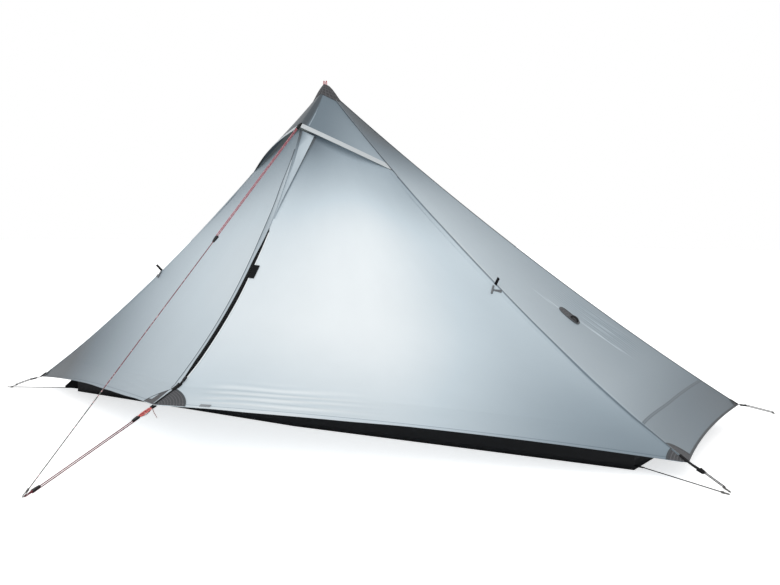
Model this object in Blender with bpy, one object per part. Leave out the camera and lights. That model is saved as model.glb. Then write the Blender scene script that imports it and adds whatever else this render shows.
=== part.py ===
"""A one-person, single-pole pyramid tent with a front porch, all in metres, +Z up.

The origin is on the ground, straight under the peak. The porch faces -Y, +X is the right-hand end.
The tent is the same on both sides, so most pieces are made once for each side.
"""
import math

import bmesh
import bpy
from mathutils import Matrix, Vector

# Driving sizes of the fly
peak_height = 1.200
front_corner_x = 1.369
front_corner_y = -0.154
front_corner_z = 0.0545
back_corner_x = 1.295
back_corner_y = 0.756
back_corner_z = 0.078
porch_y = -0.839
porch_z = 0.174
front_ridge_sag = 0.0667
back_ridge_sag = 0.0475
front_hem_rise = 0.0175
end_hem_draw = 0.022
back_hem_rise = 0.040
back_hem_draw = 0.030
fabric = 0.0012
gap = 0.0003
cap_gap = 0.0010
cap_share = 0.036
seam_share = 0.90

# Hood, vent and door
hood_tip_y = -0.150
hood_tip_drop = 0.154
hood_end_share = 0.224
hood_swell = 0.035
hood_swell_lean = 0.90
hood_swell_rise = 1.5
hood_swell_way = (0.37, -0.93, 0.05)
band_width = 0.018
band_thickness = 0.0016
zip_top_y = -0.1445
zip_top_drop = 0.162
zip_foot_y = -0.735
zip_foot_z = 0.2156
zip_bow = 0.070
zip_foot_share = 0.90
fold_start_share = 0.12
fold_end_share = 0.955
zip_tape_width = 0.012
flap_width = 0.036
flap_top_share = 0.06
flap_foot_share = 0.30
flap_taper = 0.90
flap_lift = 0.0006
flap_tab_share = 0.467
flap_tab_length = 0.042
flap_tab_width = 0.016
slider_length = 0.024
slider_width = 0.007
slider_height = 0.006
slider_share = 0.975
door_top_share = 0.05
zip_start_share = 0.06
vent_top_share = 0.55
vent_inset_share = 0.985
cap_head_share = 0.14
cap_rise = 0.012

# Bathtub floor and mesh
floor_length = 2.400
floor_front_y = -0.106
floor_middle_y = -0.168
floor_back_y = 0.690
floor_wall = 0.100
floor_fabric = 0.0015
mesh_thickness = 0.0010
mesh_top_drop = 0.140
mesh_door_reach = 1.050
mesh_axis_drop = 0.110
mesh_axis_foot = 0.130
mesh_hang = 0.0044
mesh_seam_x = 0.020
mesh_side_gap = 0.0030
mesh_end_x = 1.170
skirt_lean = 0.012
skirt_end_share = 0.04
skirt_back_share = 0.03

# Pole
upper_radius = 0.0090
middle_radius = 0.0078
lower_radius = 0.0064
tube_wall = 0.0009
upper_foot = 0.740
middle_foot = 0.400
tube_overlap = 0.100
pole_plug_length = 0.034
pole_tip_radius = 0.0030
pole_head_room = 0.0110
collar_radius = 0.0140
collar_length = 0.034
lever_length = 0.030
lever_width = 0.010
lever_thickness = 0.0045
lever_gap = 0.0008
pole_foot_floor = 0.006
foot_radius = 0.011
foot_length = 0.030

# Straps, patches and lines
strap_width = 0.015
strap_thickness = 0.0018
strap_length = 0.070
lock_length = 0.022
lock_thickness = 0.006
patch_thickness = 0.0010
guy_patch_length = 0.085
guy_patch_width = 0.058
guy_across = 0.534
guy_share = 0.651
guy_loop_half = 0.014
guy_loop_rise = 0.009
guy_loop_width = 0.012
tie_share = 0.552
cord_radius = 0.0015
cord_gap = 0.0004
tensioner_length = 0.026
tensioner_width = 0.011
tensioner_thickness = 0.006
main_lock_distance = 0.560
porch_lock_distance = 0.063
stake_lock_distance = 0.038
hood_tab_length = 0.014
hook_thickness = 0.0015
hook_length = 0.016
hood_tab_start = 0.0021
tie_length = 0.026
tie_lift = 0.0014
toggle_radius = 0.0032
toggle_half_length = 0.014
floor_tie_length = 0.030
loop_half_width = 0.005
loop_rise = 0.0155
loop_sink = 0.0048

hood_tip_z = peak_height - hood_tip_drop
zip_top_z = peak_height - zip_top_drop
mesh_top_height = peak_height - mesh_top_drop
mesh_axis_top = mesh_top_height - mesh_axis_drop
peak = Vector((0, 0, peak_height))
down = Vector((0, 0, -1))
inside_point = Vector((0, 0.10, 0.40))


def clear_scene():
    for old in list(bpy.data.objects):
        bpy.data.objects.remove(old, do_unlink=True)


def material(name, colour, roughness, metallic=0.0):
    """One plain Principled finish for one piece."""
    made = bpy.data.materials.new(name)
    made.use_nodes = True
    shader = made.node_tree.nodes["Principled BSDF"]
    shader.inputs["Base Color"].default_value = (*colour, 1)
    shader.inputs["Roughness"].default_value = roughness
    shader.inputs["Metallic"].default_value = metallic
    return made


def add_object(name, mesh, colour, roughness=0.6, metallic=0.0, origin=None):
    """Link a finished bmesh as one named piece, its origin on its joint if it has one."""
    if origin is not None:
        bmesh.ops.translate(mesh, verts=mesh.verts, vec=-origin)
    data = bpy.data.meshes.new(name)
    mesh.to_mesh(data)
    mesh.free()
    made = bpy.data.objects.new(name, data)
    if origin is not None:
        made.location = origin
    bpy.context.collection.objects.link(made)
    data.materials.append(material(name, colour, roughness, metallic))
    return made


# The curves that the fly is cut to
def front_corner(side):
    return Vector((side * front_corner_x, front_corner_y, front_corner_z))


def back_corner(side):
    return Vector((side * back_corner_x, back_corner_y, back_corner_z))


def porch_point():
    return Vector((0, porch_y, porch_z))


def hood_tip():
    return Vector((0, hood_tip_y, hood_tip_z))


def zip_top():
    return Vector((0, zip_top_y, zip_top_z))


def zip_foot():
    return Vector((0, zip_foot_y, zip_foot_z))


def front_ridge(side, share):
    straight = peak.lerp(front_corner(side), share)
    return straight + down * (4 * front_ridge_sag * share * (1 - share))


def back_ridge(side, share):
    straight = peak.lerp(back_corner(side), share)
    return straight + down * (4 * back_ridge_sag * share * (1 - share))


def arc_centre_and_radius():
    """The zip runs on a circle in the middle plane, so that its slider keeps to it."""
    chord = zip_foot() - zip_top()
    radius = (chord.length ** 2 / 4 + zip_bow ** 2) / (2 * zip_bow)
    outward = Vector((0, chord.z, -chord.y)).normalized()
    if outward.y > 0:
        outward.negate()
    middle = (zip_foot() + zip_top()) / 2
    return middle + outward * (radius - zip_bow), radius


def zip_arc(share):
    centre, radius = arc_centre_and_radius()
    chord = (zip_foot() - zip_top()).length
    half_turn = math.asin(chord / 2 / radius)
    turn = Matrix.Rotation(half_turn * 2 * share * zip_turn_sign(), 3, "X")
    return centre + turn @ (zip_top() - centre)


def zip_turn_sign():
    centre, radius = arc_centre_and_radius()
    start = zip_top() - centre
    end = zip_foot() - centre
    return 1 if start.cross(end).x > 0 else -1


def zip_line(share):
    """The free edge of a door: the zip's arc, and then a short straight edge to the porch point."""
    if share <= zip_foot_share:
        return zip_arc(share / zip_foot_share)
    return zip_foot().lerp(porch_point(), (share - zip_foot_share) / (1 - zip_foot_share))


def ridge_below_hood(side, share):
    """The front ridge from the hood's end down to the corner."""
    top = hood_end_share + band_width / 2
    return front_ridge(side, top + (1 - top) * share)


def front_surface(side, across, share):
    """The front panel: across runs from the zip to the ridge, share from the vent to the hem."""
    point = zip_line(share).lerp(ridge_below_hood(side, share), across)
    rise = 4 * front_hem_rise * across * (1 - across) * share ** 3
    return point - down * rise


def end_surface(side, across, share):
    """The end panel: across runs from the front ridge to the back ridge."""
    point = front_ridge(side, share).lerp(back_ridge(side, share), across)
    draw = 4 * end_hem_draw * across * (1 - across) * share ** 3
    return point - Vector((side * draw, 0, 0))


def back_surface(across, share):
    """The back panel: across runs from the right ridge to the left ridge."""
    point = back_ridge(1, share).lerp(back_ridge(-1, share), across)
    bow = 4 * across * (1 - across) * share ** 3
    return point - down * (back_hem_rise * bow) - Vector((0, back_hem_draw * bow, 0))


def surface_normal(surface, across, share, step=0.002):
    """The outward normal of a surface, from points a small step either way."""
    low_a, high_a = max(across - step, 0), min(across + step, 1)
    low_s, high_s = max(share - step, 0), min(share + step, 1)
    along = surface(high_a, share) - surface(low_a, share)
    fall = surface(across, high_s) - surface(across, low_s)
    normal = along.cross(fall).normalized()
    middle = surface(across, share)
    return normal if normal.dot(middle - inside_point) > 0 else -normal


def lifted(surface, across, share, height):
    return surface(across, share) + surface_normal(surface, across, share) * height


def sheet_object(name, surface, columns, rows, thickness, colour, inset=(0, 0, 0, 0), origin=None):
    """A sewn panel: a grid laid on the surface, then given its thickness inwards.

    inset holds back the left, right, top and bottom edges by a real length, for the seams.
    """
    mesh = bmesh.new()
    bmesh.ops.create_grid(mesh, x_segments=columns, y_segments=rows, size=0.5)
    for vert in mesh.verts:
        across, share = vert.co.x + 0.5, vert.co.y + 0.5
        width = max((surface(1, share) - surface(0, share)).length, 1e-6)
        height = max((surface(across, 1) - surface(across, 0)).length, 1e-6)
        left, right = inset[0] / width, inset[1] / width
        top, bottom = inset[2] / height, inset[3] / height
        vert.co = surface(left + across * (1 - left - right), top + share * (1 - top - bottom))
    mesh.normal_update()
    facing = sum(face.normal.dot(face.calc_center_median() - inside_point) for face in mesh.faces)
    if facing < 0:
        bmesh.ops.reverse_faces(mesh, faces=mesh.faces)
    made = add_object(name, mesh, colour, origin=origin)
    wall = made.modifiers.new("fabric", "SOLIDIFY")
    wall.thickness = thickness
    wall.offset = -1
    wall.use_even_offset = True
    return made


def seam_inset(surface_a, at_a, surface_b, at_b):
    """How far two panels stay back from their shared seam so that their inner faces don't meet."""
    first = surface_normal(surface_a, *at_a)
    second = surface_normal(surface_b, *at_b)
    return fabric * math.tan(first.angle(second) / 2) + gap


def fold_across(share):
    """Where the door's fold line crosses a row of the front panel."""
    return fold_end_share * share / (share + fold_start_share * (1 - share))


def build_front(side, word):
    """The front panel in two pieces: the fixed strip beside the ridge and the door."""
    def whole(across, share):
        return front_surface(side, across, share)

    def end(across, share):
        return end_surface(side, across, share)

    def strip(across, share):
        edge = fold_across(share)
        return whole(edge + (1 - edge) * across, share)

    def door(across, share):
        low = door_top_share + (1 - door_top_share) * share
        return whole(fold_across(low) * across, low)

    ridge = seam_inset(whole, (1, 0.5), end, (0, 0.6))
    middle = seam_inset(whole, (0, 0.5), lambda a, s: front_surface(-side, a, s), (0, 0.5))
    sheet_object(f"front_panel_{word}", strip, 5, 20, fabric, (0.62, 0.68, 0.72),
                 inset=(gap, ridge, gap, 0))
    sheet_object(f"door_{word}", door, 9, 19, fabric, (0.72, 0.78, 0.82),
                 inset=(middle + zip_tape_width / 2, gap, 0, 0), origin=fold_axis_point(side))


def fold_axis_point(side):
    return front_surface(side, fold_across(door_top_share), door_top_share)


def build_end(side, word):
    """The end panel, and the strip below its cross seam."""
    def whole(across, share):
        return end_surface(side, across, cap_share + (1 - cap_share) * share)

    seam_at = (seam_share - cap_share) / (1 - cap_share)
    front = seam_inset(lambda a, s: front_surface(side, a, s), (1, 0.5), whole, (0, 0.5))
    back = seam_inset(whole, (1, 0.5), back_surface, (0 if side > 0 else 1, 0.5))
    sheet_object(f"end_panel_{word}", lambda a, s: whole(a, s * seam_at), 10, 14, fabric,
                 (0.55, 0.60, 0.64), inset=(front, back, cap_gap, gap))
    sheet_object(f"end_skirt_{word}", lambda a, s: whole(a, seam_at + (1 - seam_at) * s), 10, 2,
                 fabric, (0.50, 0.55, 0.59), inset=(front, back, gap, 0))


def build_back():
    def whole(across, share):
        return back_surface(across, cap_share + (1 - cap_share) * share)

    side_inset = seam_inset(whole, (0, 0.5), lambda a, s: end_surface(1, a, s), (1, 0.5))
    sheet_object("back_panel", whole, 16, 10, fabric, (0.50, 0.56, 0.60),
                 inset=(side_inset, side_inset, cap_gap, 0))


def hood_surface(across, share):
    """The hood over the vent, from the left ridge to the right one.

    It is creased in the middle, and each half swells forward over the vent.
    """
    side = 1 if across >= 0.5 else -1
    away = abs(across - 0.5) * 2
    crease = peak.lerp(hood_tip(), share)
    flat = crease.lerp(front_ridge(side, share * hood_end_share), away)
    swell = hood_swell * math.sin(math.pi * away ** hood_swell_lean) * share ** hood_swell_rise
    x, y, z = hood_swell_way
    return flat + Vector((side * x, y, z)) * swell


def build_hood():
    """The hood, the light band along its edge, and the mesh that closes the vent below it."""
    start = cap_share / hood_end_share
    hem_share = 1 - band_width / (hood_tip() - peak).length

    def hood(across, share):
        return hood_surface(across, start + (hem_share - start) * share)

    def band(across, share):
        return hood_surface(across, hem_share + (1.0 - hem_share) * share)

    edge = seam_inset(hood, (1, 0.5), lambda a, s: end_surface(1, a, s), (0, hood_end_share / 2))
    sheet_object("vent_hood", hood, 24, 6, fabric, (0.36, 0.41, 0.45),
                 inset=(edge, edge, cap_gap * 1.3, gap))
    sheet_object("hood_band", band, 24, 1, band_thickness, (0.66, 0.70, 0.73),
                 inset=(edge + band_thickness, edge + band_thickness, gap, 0))

    def vent(across, share):
        side = 1 if across >= 0.5 else -1
        away = abs(across - 0.5) * 2
        top = peak.lerp(zip_top(), vent_top_share)
        crease = top.lerp(zip_top(), share)
        reach = hood_end_share + band_width / 2
        ridge = front_ridge(side, reach * (vent_top_share + (1 - vent_top_share) * share))
        return crease.lerp(ridge, away * vent_inset_share) + down * vent_drop

    vent_drop = band_thickness * 2 + gap
    vent_seam = vent_drop + gap * 2
    sheet_object("vent_mesh", vent, 10, 3, mesh_thickness, (0.05, 0.05, 0.05),
                 inset=(fabric, fabric, 0, vent_seam))


def build_cap():
    """The dark reinforced cap that is sewn over the peak, open below for the pole."""
    ring = [front_ridge(1, cap_share), back_ridge(1, cap_share), back_ridge(-1, cap_share),
            front_ridge(-1, cap_share), hood_surface(0.5, cap_share / hood_end_share)]
    mesh = bmesh.new()
    bmesh.ops.create_cone(mesh, cap_ends=True, segments=len(ring), radius1=1, radius2=0.1, depth=1)
    low = sorted((v for v in mesh.verts if v.co.z < 0), key=lambda v: math.atan2(v.co.y, v.co.x))
    high = sorted((v for v in mesh.verts if v.co.z > 0), key=lambda v: math.atan2(v.co.y, v.co.x))
    order = sorted(ring, key=lambda p: math.atan2(p.y, p.x))
    for below, above, point in zip(low, high, order):
        below.co = point
        above.co = peak.lerp(point, cap_head_share) - down * cap_rise
    floor_face = [f for f in mesh.faces if all(v in low for v in f.verts)]
    bmesh.ops.delete(mesh, geom=floor_face, context="FACES_ONLY")
    bmesh.ops.recalc_face_normals(mesh, faces=mesh.faces)
    if sum(f.normal.dot(f.calc_center_median() - inside_point) for f in mesh.faces) < 0:
        bmesh.ops.reverse_faces(mesh, faces=mesh.faces)
    made = add_object("apex_cap", mesh, (0.09, 0.09, 0.08), 0.8)
    wall = made.modifiers.new("cap", "SOLIDIFY")
    wall.thickness = fabric
    wall.offset = -1
    wall.use_even_offset = True


def frame_along(direction, upward):
    """A turn whose X lies along direction and whose Z leans towards upward."""
    x = direction.normalized()
    y = upward.cross(x).normalized()
    z = x.cross(y)
    return Matrix((x, y, z)).transposed()


def turned_mesh(profile, segments=16, origin=Vector((0, 0, 0)), turn=None):
    """A turned piece: (radius, height) points from the axis and back, spun about Z."""
    mesh = bmesh.new()
    verts = [mesh.verts.new((radius, 0, height)) for radius, height in profile]
    closed = profile[0][0] > 1e-6
    edges = [mesh.edges.new((a, b)) for a, b in zip(verts, verts[1:])]
    if closed:
        edges.append(mesh.edges.new((verts[-1], verts[0])))
    bmesh.ops.spin(mesh, geom=verts + edges, cent=(0, 0, 0), axis=(0, 0, 1),
                   angle=math.tau, steps=segments, use_merge=True, use_duplicate=False)
    bmesh.ops.remove_doubles(mesh, verts=mesh.verts, dist=1e-6)
    bmesh.ops.recalc_face_normals(mesh, faces=mesh.faces)
    if mesh.calc_volume(signed=True) < 0:
        bmesh.ops.reverse_faces(mesh, faces=mesh.faces)
    if turn is not None:
        bmesh.ops.transform(mesh, matrix=turn.to_4x4(), verts=mesh.verts)
    bmesh.ops.translate(mesh, verts=mesh.verts, vec=origin)
    return mesh


def smooth(made):
    made.data.shade_smooth()
    made.data.set_sharp_from_angle(angle=math.radians(35))
    return made


def sweep_mesh(stations):
    """A flat strap through (centre, direction, upward, half width, half thickness) stations."""
    mesh = bmesh.new()
    loops = []
    for centre, direction, upward, half_width, half_thickness in stations:
        turn = frame_along(direction, upward)
        corners = [(1, 1), (-1, 1), (-1, -1), (1, -1)]
        ring = [mesh.verts.new(centre + turn @ Vector((0, a * half_width, b * half_thickness)))
                for a, b in corners]
        loops.append([mesh.edges.new((ring[i], ring[(i + 1) % 4])) for i in range(4)])
    for first, second in zip(loops, loops[1:]):
        bmesh.ops.bridge_loops(mesh, edges=first + second)
    bmesh.ops.holes_fill(mesh, edges=loops[0] + loops[-1], sides=4)
    bmesh.ops.recalc_face_normals(mesh, faces=mesh.faces)
    return mesh


def door_width(side, share):
    return (front_surface(side, 1, share) - front_surface(side, 0, share)).length


def middle_inset():
    """How far each side stays back from the middle plane, so that inner faces don't meet."""
    return seam_inset(lambda a, s: front_surface(1, a, s), (0, 0.5),
                      lambda a, s: front_surface(-1, a, s), (0, 0.5))


def on_door(side, distance, share, height=0.0):
    """A point on a door at a real distance from the zip's middle line."""
    across = distance / door_width(side, share)
    return lifted(lambda a, s: front_surface(side, a, s), across, share, height)


def build_zip():
    """The zip: a tape on each door's edge, its slider, the storm flap and the flap's tab."""
    first = middle_inset()
    for side, word in ((1, "right"), (-1, "left")):
        def tape(across, share, side=side):
            at = zip_foot_share * (zip_start_share + (1 - zip_start_share) * share)
            distance = first + across * (zip_tape_width / 2 - gap)
            return on_door(side, distance, at)
        sheet_object(f"zip_tape_{word}", tape, 1, 17, fabric, (0.04, 0.04, 0.04),
                     origin=fold_axis_point(side))

    def flap(across, share):
        at = flap_top_share + (flap_foot_share - flap_top_share) * share
        width = flap_width * (1 - flap_taper * share)
        return on_door(1, slider_right + gap * 2 + across * width, at, fabric + flap_lift)

    slider_right = first + gap + slider_width
    sheet_object("storm_flap", flap, 2, 8, fabric, (0.70, 0.73, 0.75),
                 origin=fold_axis_point(1))

    def tab(across, share):
        at = flap_tab_share + share * flap_tab_length
        return on_door(1, slider_right + gap * 2 + across * flap_tab_width, at,
                       fabric + flap_lift)

    sheet_object("flap_tab", tab, 1, 1, fabric, (0.03, 0.03, 0.03), origin=fold_axis_point(1))

    centre, radius = arc_centre_and_radius()
    seat = zip_arc(slider_share)
    outward = (centre - seat).normalized()
    along = (zip_arc(slider_share + 0.002) - zip_arc(slider_share - 0.002)).normalized()
    middle = seat + outward * (slider_height / 2 + gap)
    middle.x = slider_right - slider_width / 2
    half = slider_length / 2
    stations = [(-half, 0.0022, 0.0012), (-half * 0.7, slider_width / 2, slider_height / 2),
                (half * 0.3, slider_width / 2, slider_height / 2),
                (half * 0.5, 0.0028, 0.0014), (half, 0.0030, 0.0012)]
    mesh = sweep_mesh([(middle + along * d, along, outward, w, h) for d, w, h in stations])
    add_object("zip_slider", mesh, (0.05, 0.05, 0.05), 0.4, 0.6, origin=centre)


def stake_front(side):
    return Vector((1.496, -0.205, 0.0018)) if side > 0 else Vector((-1.523, -0.185, 0.0018))


def stake_back(side):
    return Vector((side * 1.3573, 1.0936, 0.0018))


def porch_stake():
    return Vector((0, -1.299, 0.0018))


def corner_strap(ridge, side, corner, stake):
    """Webbing sewn on the patch, past the corner's tip, and the lock on its end."""
    inside = ridge(side, 1 - strap_length / 2 / (corner - peak).length)
    ridge_way = (corner - inside).normalized()
    stake_way = (stake - corner).normalized()
    sideways = Vector((0, 0, 1)).cross(ridge_way).normalized()
    up_a = ridge_way.cross(sideways).normalized()
    side_b = Vector((0, 0, 1)).cross(stake_way).normalized()
    up_b = stake_way.cross(side_b).normalized()
    half, thin = strap_width / 2, strap_thickness / 2
    rise = thin + gap * 2.5
    bend = corner + up_a * rise + ridge_way * 0.006
    past = corner + stake_way * (strap_length / 2) + up_b * 0.002
    lock = past + stake_way * lock_length
    return sweep_mesh([
        (inside + up_a * rise, ridge_way, up_a, half, thin),
        (bend, (ridge_way + stake_way), up_a, half, thin),
        (past, stake_way, up_b, half, thin),
        (past + stake_way * 0.001, stake_way, up_b, half + 0.003, lock_thickness / 2),
        (lock, stake_way, up_b, half, lock_thickness / 2 - 0.0005)]), lock, stake_way


def tube(name, points, radius, colour):
    """A cord: a round tube through points chosen by hand, with flat ends."""
    curve = bpy.data.curves.new(name, "CURVE")
    curve.dimensions = "3D"
    curve.bevel_depth = radius
    curve.bevel_resolution = 2
    curve.use_fill_caps = True
    spline = curve.splines.new("POLY")
    spline.points.add(len(points) - 1)
    for place, point in zip(spline.points, points):
        place.co = (*point, 1)
    made = bpy.data.objects.new(name, curve)
    bpy.context.collection.objects.link(made)
    curve.materials.append(material(name, colour, 0.7))
    return made


def straight_run(start, end, count):
    return [start.lerp(end, i / (count - 1)) for i in range(count)]


def build_straps_and_lines():
    """The corner webbing, and the thin lines from it to the stakes' places on the ground."""
    lines = {}
    for word, ridge, corner, stake in (("front", front_ridge, front_corner, stake_front),
                                       ("back", back_ridge, back_corner, stake_back)):
        for side, hand in ((1, "right"), (-1, "left")):
            mesh, lock, way = corner_strap(ridge, side, corner(side), stake(side))
            add_object(f"corner_strap_{word}_{hand}", mesh, (0.03, 0.03, 0.03), 0.7)
            lines[f"line_{word}_{hand}"] = (lock + way * gap, stake(side))
    for name, (start, end) in lines.items():
        tube(name, straight_run(start, end, 12), cord_radius, (0.55, 0.55, 0.55))


def bored(made, start, way, radius):
    """A hole along a line, for the cord that passes through."""
    mesh = turned_mesh([(0, -0.05), (radius, -0.05), (radius, 0.05), (0, 0.05)], 12, start,
                       way.to_track_quat("Z", "Y").to_matrix())
    data = bpy.data.meshes.new(made.name + "_bore")
    mesh.to_mesh(data)
    mesh.free()
    cutter = bpy.data.objects.new(made.name + "_bore", data)
    bpy.context.collection.objects.link(cutter)
    cutter.hide_render = True
    cutter.display_type = "WIRE"
    hole = made.modifiers.new("bore", "BOOLEAN")
    hole.object = cutter
    hole.operation = "DIFFERENCE"
    hole.solver = "EXACT"


def tensioner(name, at, way, length):
    """A small cord lock that the line runs through."""
    up = Vector((1, 0, 0)).cross(way).normalized()
    half = length / 2
    mesh = sweep_mesh([(at - way * half, way, up, tensioner_width / 2, tensioner_thickness / 2),
                       (at, way, up, tensioner_width / 2 * 0.8, tensioner_thickness / 2),
                       (at + way * half, way, up, tensioner_width / 4, tensioner_thickness / 2.4)])
    made = add_object(name, mesh, (0.03, 0.03, 0.03), 0.4, origin=at)
    bored(made, at, way, cord_radius + cord_gap)


def build_porch_lines():
    """The hood's guyline and the porch line, which share one stake's place."""
    tab_way = (porch_stake() - hood_tip()).normalized()
    tab_up = Vector((1, 0, 0)).cross(tab_way).normalized()
    tab_start = hood_tip() + tab_way * hood_tab_start
    tab = sweep_mesh([(tab_start, tab_way, tab_up, 0.006, 0.0012),
                      (tab_start + tab_way * hood_tab_length, tab_way, tab_up, 0.005, 0.0012)])
    add_object("hood_tab", tab, (0.03, 0.03, 0.03), 0.7)
    start = tab_start + tab_way * (hood_tab_length + gap)
    end = porch_stake() + Vector((0, 0.006, 0))
    way = (end - start).normalized()
    tube("guyline_main", straight_run(start, end, 24), cord_radius, (0.8, 0.1, 0.1))
    tensioner("tensioner_main", start + way * main_lock_distance, way, tensioner_length)

    porch_way = (porch_stake() - porch_point()).normalized()
    porch_up = Vector((1, 0, 0)).cross(porch_way).normalized()
    hook_drop = fabric + gap * 3 + hook_thickness + 0.0010
    hook_start = porch_point() + down * hook_drop - porch_way * 0.004
    hook = sweep_mesh([(hook_start, porch_way, porch_up, 0.0090, hook_thickness),
                       (hook_start + porch_way * 0.012, porch_way, porch_up, 0.0070, 0.0025),
                       (hook_start + porch_way * hook_length, porch_way, porch_up, 0.0040, 0.0020)])
    add_object("porch_hook", hook, (0.04, 0.04, 0.04), 0.6)
    first = hook_start + porch_way * (hook_length + gap)
    last = porch_stake() + Vector((0, 0.012, 0))
    run = (last - first).normalized()
    tube("guyline_porch", straight_run(first, last, 16), cord_radius, (0.8, 0.1, 0.1))
    tensioner("tensioner_porch", first + run * porch_lock_distance, run, tensioner_length)
    tensioner("tensioner_stake", last - run * stake_lock_distance, -run, tensioner_length)


def build_guy_points():
    """The oval patch on each end panel with its webbing loop, and the door ties on the ridges."""
    for side, word in ((1, "right"), (-1, "left")):
        def end(across, share, side=side):
            return end_surface(side, across, share)
        centre = end(guy_across, guy_share)
        normal = surface_normal(end, guy_across, guy_share)
        fall = (end(guy_across, guy_share + 0.01) - centre).normalized()
        sideways = normal.cross(fall)
        turn = Matrix((sideways, fall, normal)).transposed()
        disc = bmesh.new()
        bmesh.ops.create_cone(disc, cap_ends=True, segments=20, radius1=0.5, radius2=0.5, depth=1)
        bmesh.ops.scale(disc, verts=disc.verts,
                        vec=(guy_patch_width, guy_patch_length, patch_thickness))
        bmesh.ops.transform(disc, matrix=turn.to_4x4(), verts=disc.verts)
        bmesh.ops.translate(disc, verts=disc.verts,
                            vec=centre + normal * (patch_thickness / 2 + gap * 2.2))
        patch = add_object(f"guy_patch_{word}", disc, (0.10, 0.10, 0.11), 0.8)
        base = centre + normal * (patch_thickness + gap * 1.5)
        steps = 8
        stations = []
        for i in range(steps + 1):
            angle = math.pi * i / steps
            place = (base - fall * (guy_loop_half * math.cos(angle))
                     + normal * (guy_loop_rise * math.sin(angle)))
            heading = fall * math.sin(angle) + normal * math.cos(angle) * 0.7
            out = normal * math.sin(angle) - fall * math.cos(angle)
            stations.append((place, heading, out, guy_loop_width / 2, strap_thickness / 2))
        loop = add_object(f"guy_loop_{word}", sweep_mesh(stations), (0.05, 0.05, 0.05), 0.8)
        loop.hide_render = True
        loop.display_type = "WIRE"
        sewn = patch.modifiers.new("sewn", "BOOLEAN")
        sewn.object = loop
        sewn.operation = "UNION"
        sewn.solver = "EXACT"

        top = hood_end_share + band_width / 2
        row = (tie_share - top) / (1 - top)

        def front(across, share, side=side):
            return front_surface(side, across, share)
        width = door_width(side, row)
        hang = []
        for distance, thick in ((0.0, 0.0009), (0.012, 0.0009), (tie_length, 0.0006)):
            place = lifted(front, 1 - (distance + 0.002) / width, row, tie_lift)
            hang.append((place, thick))
        way = (hang[-1][0] - hang[0][0]).normalized()
        out = surface_normal(front, 1 - 0.01 / width, row)
        tie = sweep_mesh([(place, way, out, 0.0055 - i * 0.0016, thick)
                          for i, (place, thick) in enumerate(hang)])
        add_object(f"tie_tab_{word}", tie, (0.04, 0.04, 0.04), 0.8)
        rod_at = hang[-1][0] + way * (toggle_radius + gap) + out * (toggle_radius - 0.0006)
        rod_way = out.cross(way)
        half = toggle_half_length
        rod = turned_mesh([(0, -half), (toggle_radius, -half), (toggle_radius, half), (0, half)],
                          12, rod_at, rod_way.to_track_quat("Z", "Y").to_matrix())
        smooth(add_object(f"toggle_{word}", rod, (0.30, 0.31, 0.32), 0.5,
                          origin=hang[-1][0]))


def floor_outline():
    half = floor_length / 2
    return [Vector((half, floor_front_y, 0)), Vector((half, floor_back_y, 0)),
            Vector((-half, floor_back_y, 0)), Vector((-half, floor_front_y, 0)),
            Vector((0, floor_middle_y, 0))]


def build_bathtub():
    """The groundsheet: one cloth whose edges stand up as low walls all round."""
    mesh = bmesh.new()
    ring = [mesh.verts.new(point) for point in reversed(floor_outline())]
    base = mesh.faces.new(ring)
    rim = list(base.edges)
    made = bmesh.ops.extrude_edge_only(mesh, edges=rim)
    raised = [part for part in made["geom"] if isinstance(part, bmesh.types.BMVert)]
    bmesh.ops.translate(mesh, verts=raised, vec=(0, 0, floor_wall))
    bmesh.ops.recalc_face_normals(mesh, faces=mesh.faces)
    mesh.normal_update()
    if base.normal.z > 0:
        bmesh.ops.reverse_faces(mesh, faces=mesh.faces)
    tub = add_object("bathtub_floor", mesh, (0.02, 0.02, 0.022), 0.5)
    wall = tub.modifiers.new("cloth", "SOLIDIFY")
    wall.thickness = floor_fabric
    wall.offset = -1
    wall.use_even_offset = True
    for side, word in ((1, "right"), (-1, "left")):
        way = (stake_front(side) - floor_outline()[0 if side > 0 else 3]).normalized()
        start = Vector((side * (floor_length / 2 + gap), floor_front_y + 0.006, 0.012))
        outward = Vector((side, 0, 0))
        tie = sweep_mesh([(start, outward, Vector((0, 0, 1)), 0.005, 0.0012),
                          (start + way * floor_tie_length, way, Vector((0, 0, 1)), 0.005, 0.0012)])
        add_object(f"floor_tie_{word}", tie, (0.03, 0.03, 0.03), 0.7)
        line_start = start + way * (floor_tie_length + gap)
        line_end = stake_front(side) + Vector((side * 0.003, -0.024, 0))
        tube(f"floor_line_{word}", straight_run(line_start, line_end, 12), cord_radius,
             (0.45, 0.45, 0.45))


def floor_front(x):
    """The front edge of the floor, which comes to a blunt point in the middle."""
    return floor_middle_y + (floor_front_y - floor_middle_y) * abs(x) / (floor_length / 2)


def mesh_ridge(x):
    """The line just under the front ridge that the mesh wall hangs from."""
    side = 1 if x >= 0 else -1
    return front_ridge(side, abs(x) / front_corner_x) + down * mesh_hang


def mesh_wall_point(x, height):
    top = mesh_ridge(x)
    low = floor_wall + gap
    along = (height - low) / (top.z - low)
    low_y = floor_front(x) + floor_fabric / 2
    return Vector((x, low_y + (top.y - low_y) * along, height))


def mesh_axis_height(x):
    """The straight fold line of the mesh door, from the middle seam down to its far end."""
    along = (x - mesh_seam_x) / (mesh_door_reach - mesh_seam_x)
    return mesh_axis_top + (mesh_axis_foot - mesh_axis_top) * along


def mesh_axis_point():
    """The top of the mesh door's fold line, on the inner face, so that it can swing inwards."""
    outward = surface_normal(lambda a, s: mesh_wall_point(mesh_seam_x + a, mesh_axis_top - s),
                             0.05, 0.05)
    return mesh_wall_point(mesh_seam_x, mesh_axis_top) - outward * mesh_thickness


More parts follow.
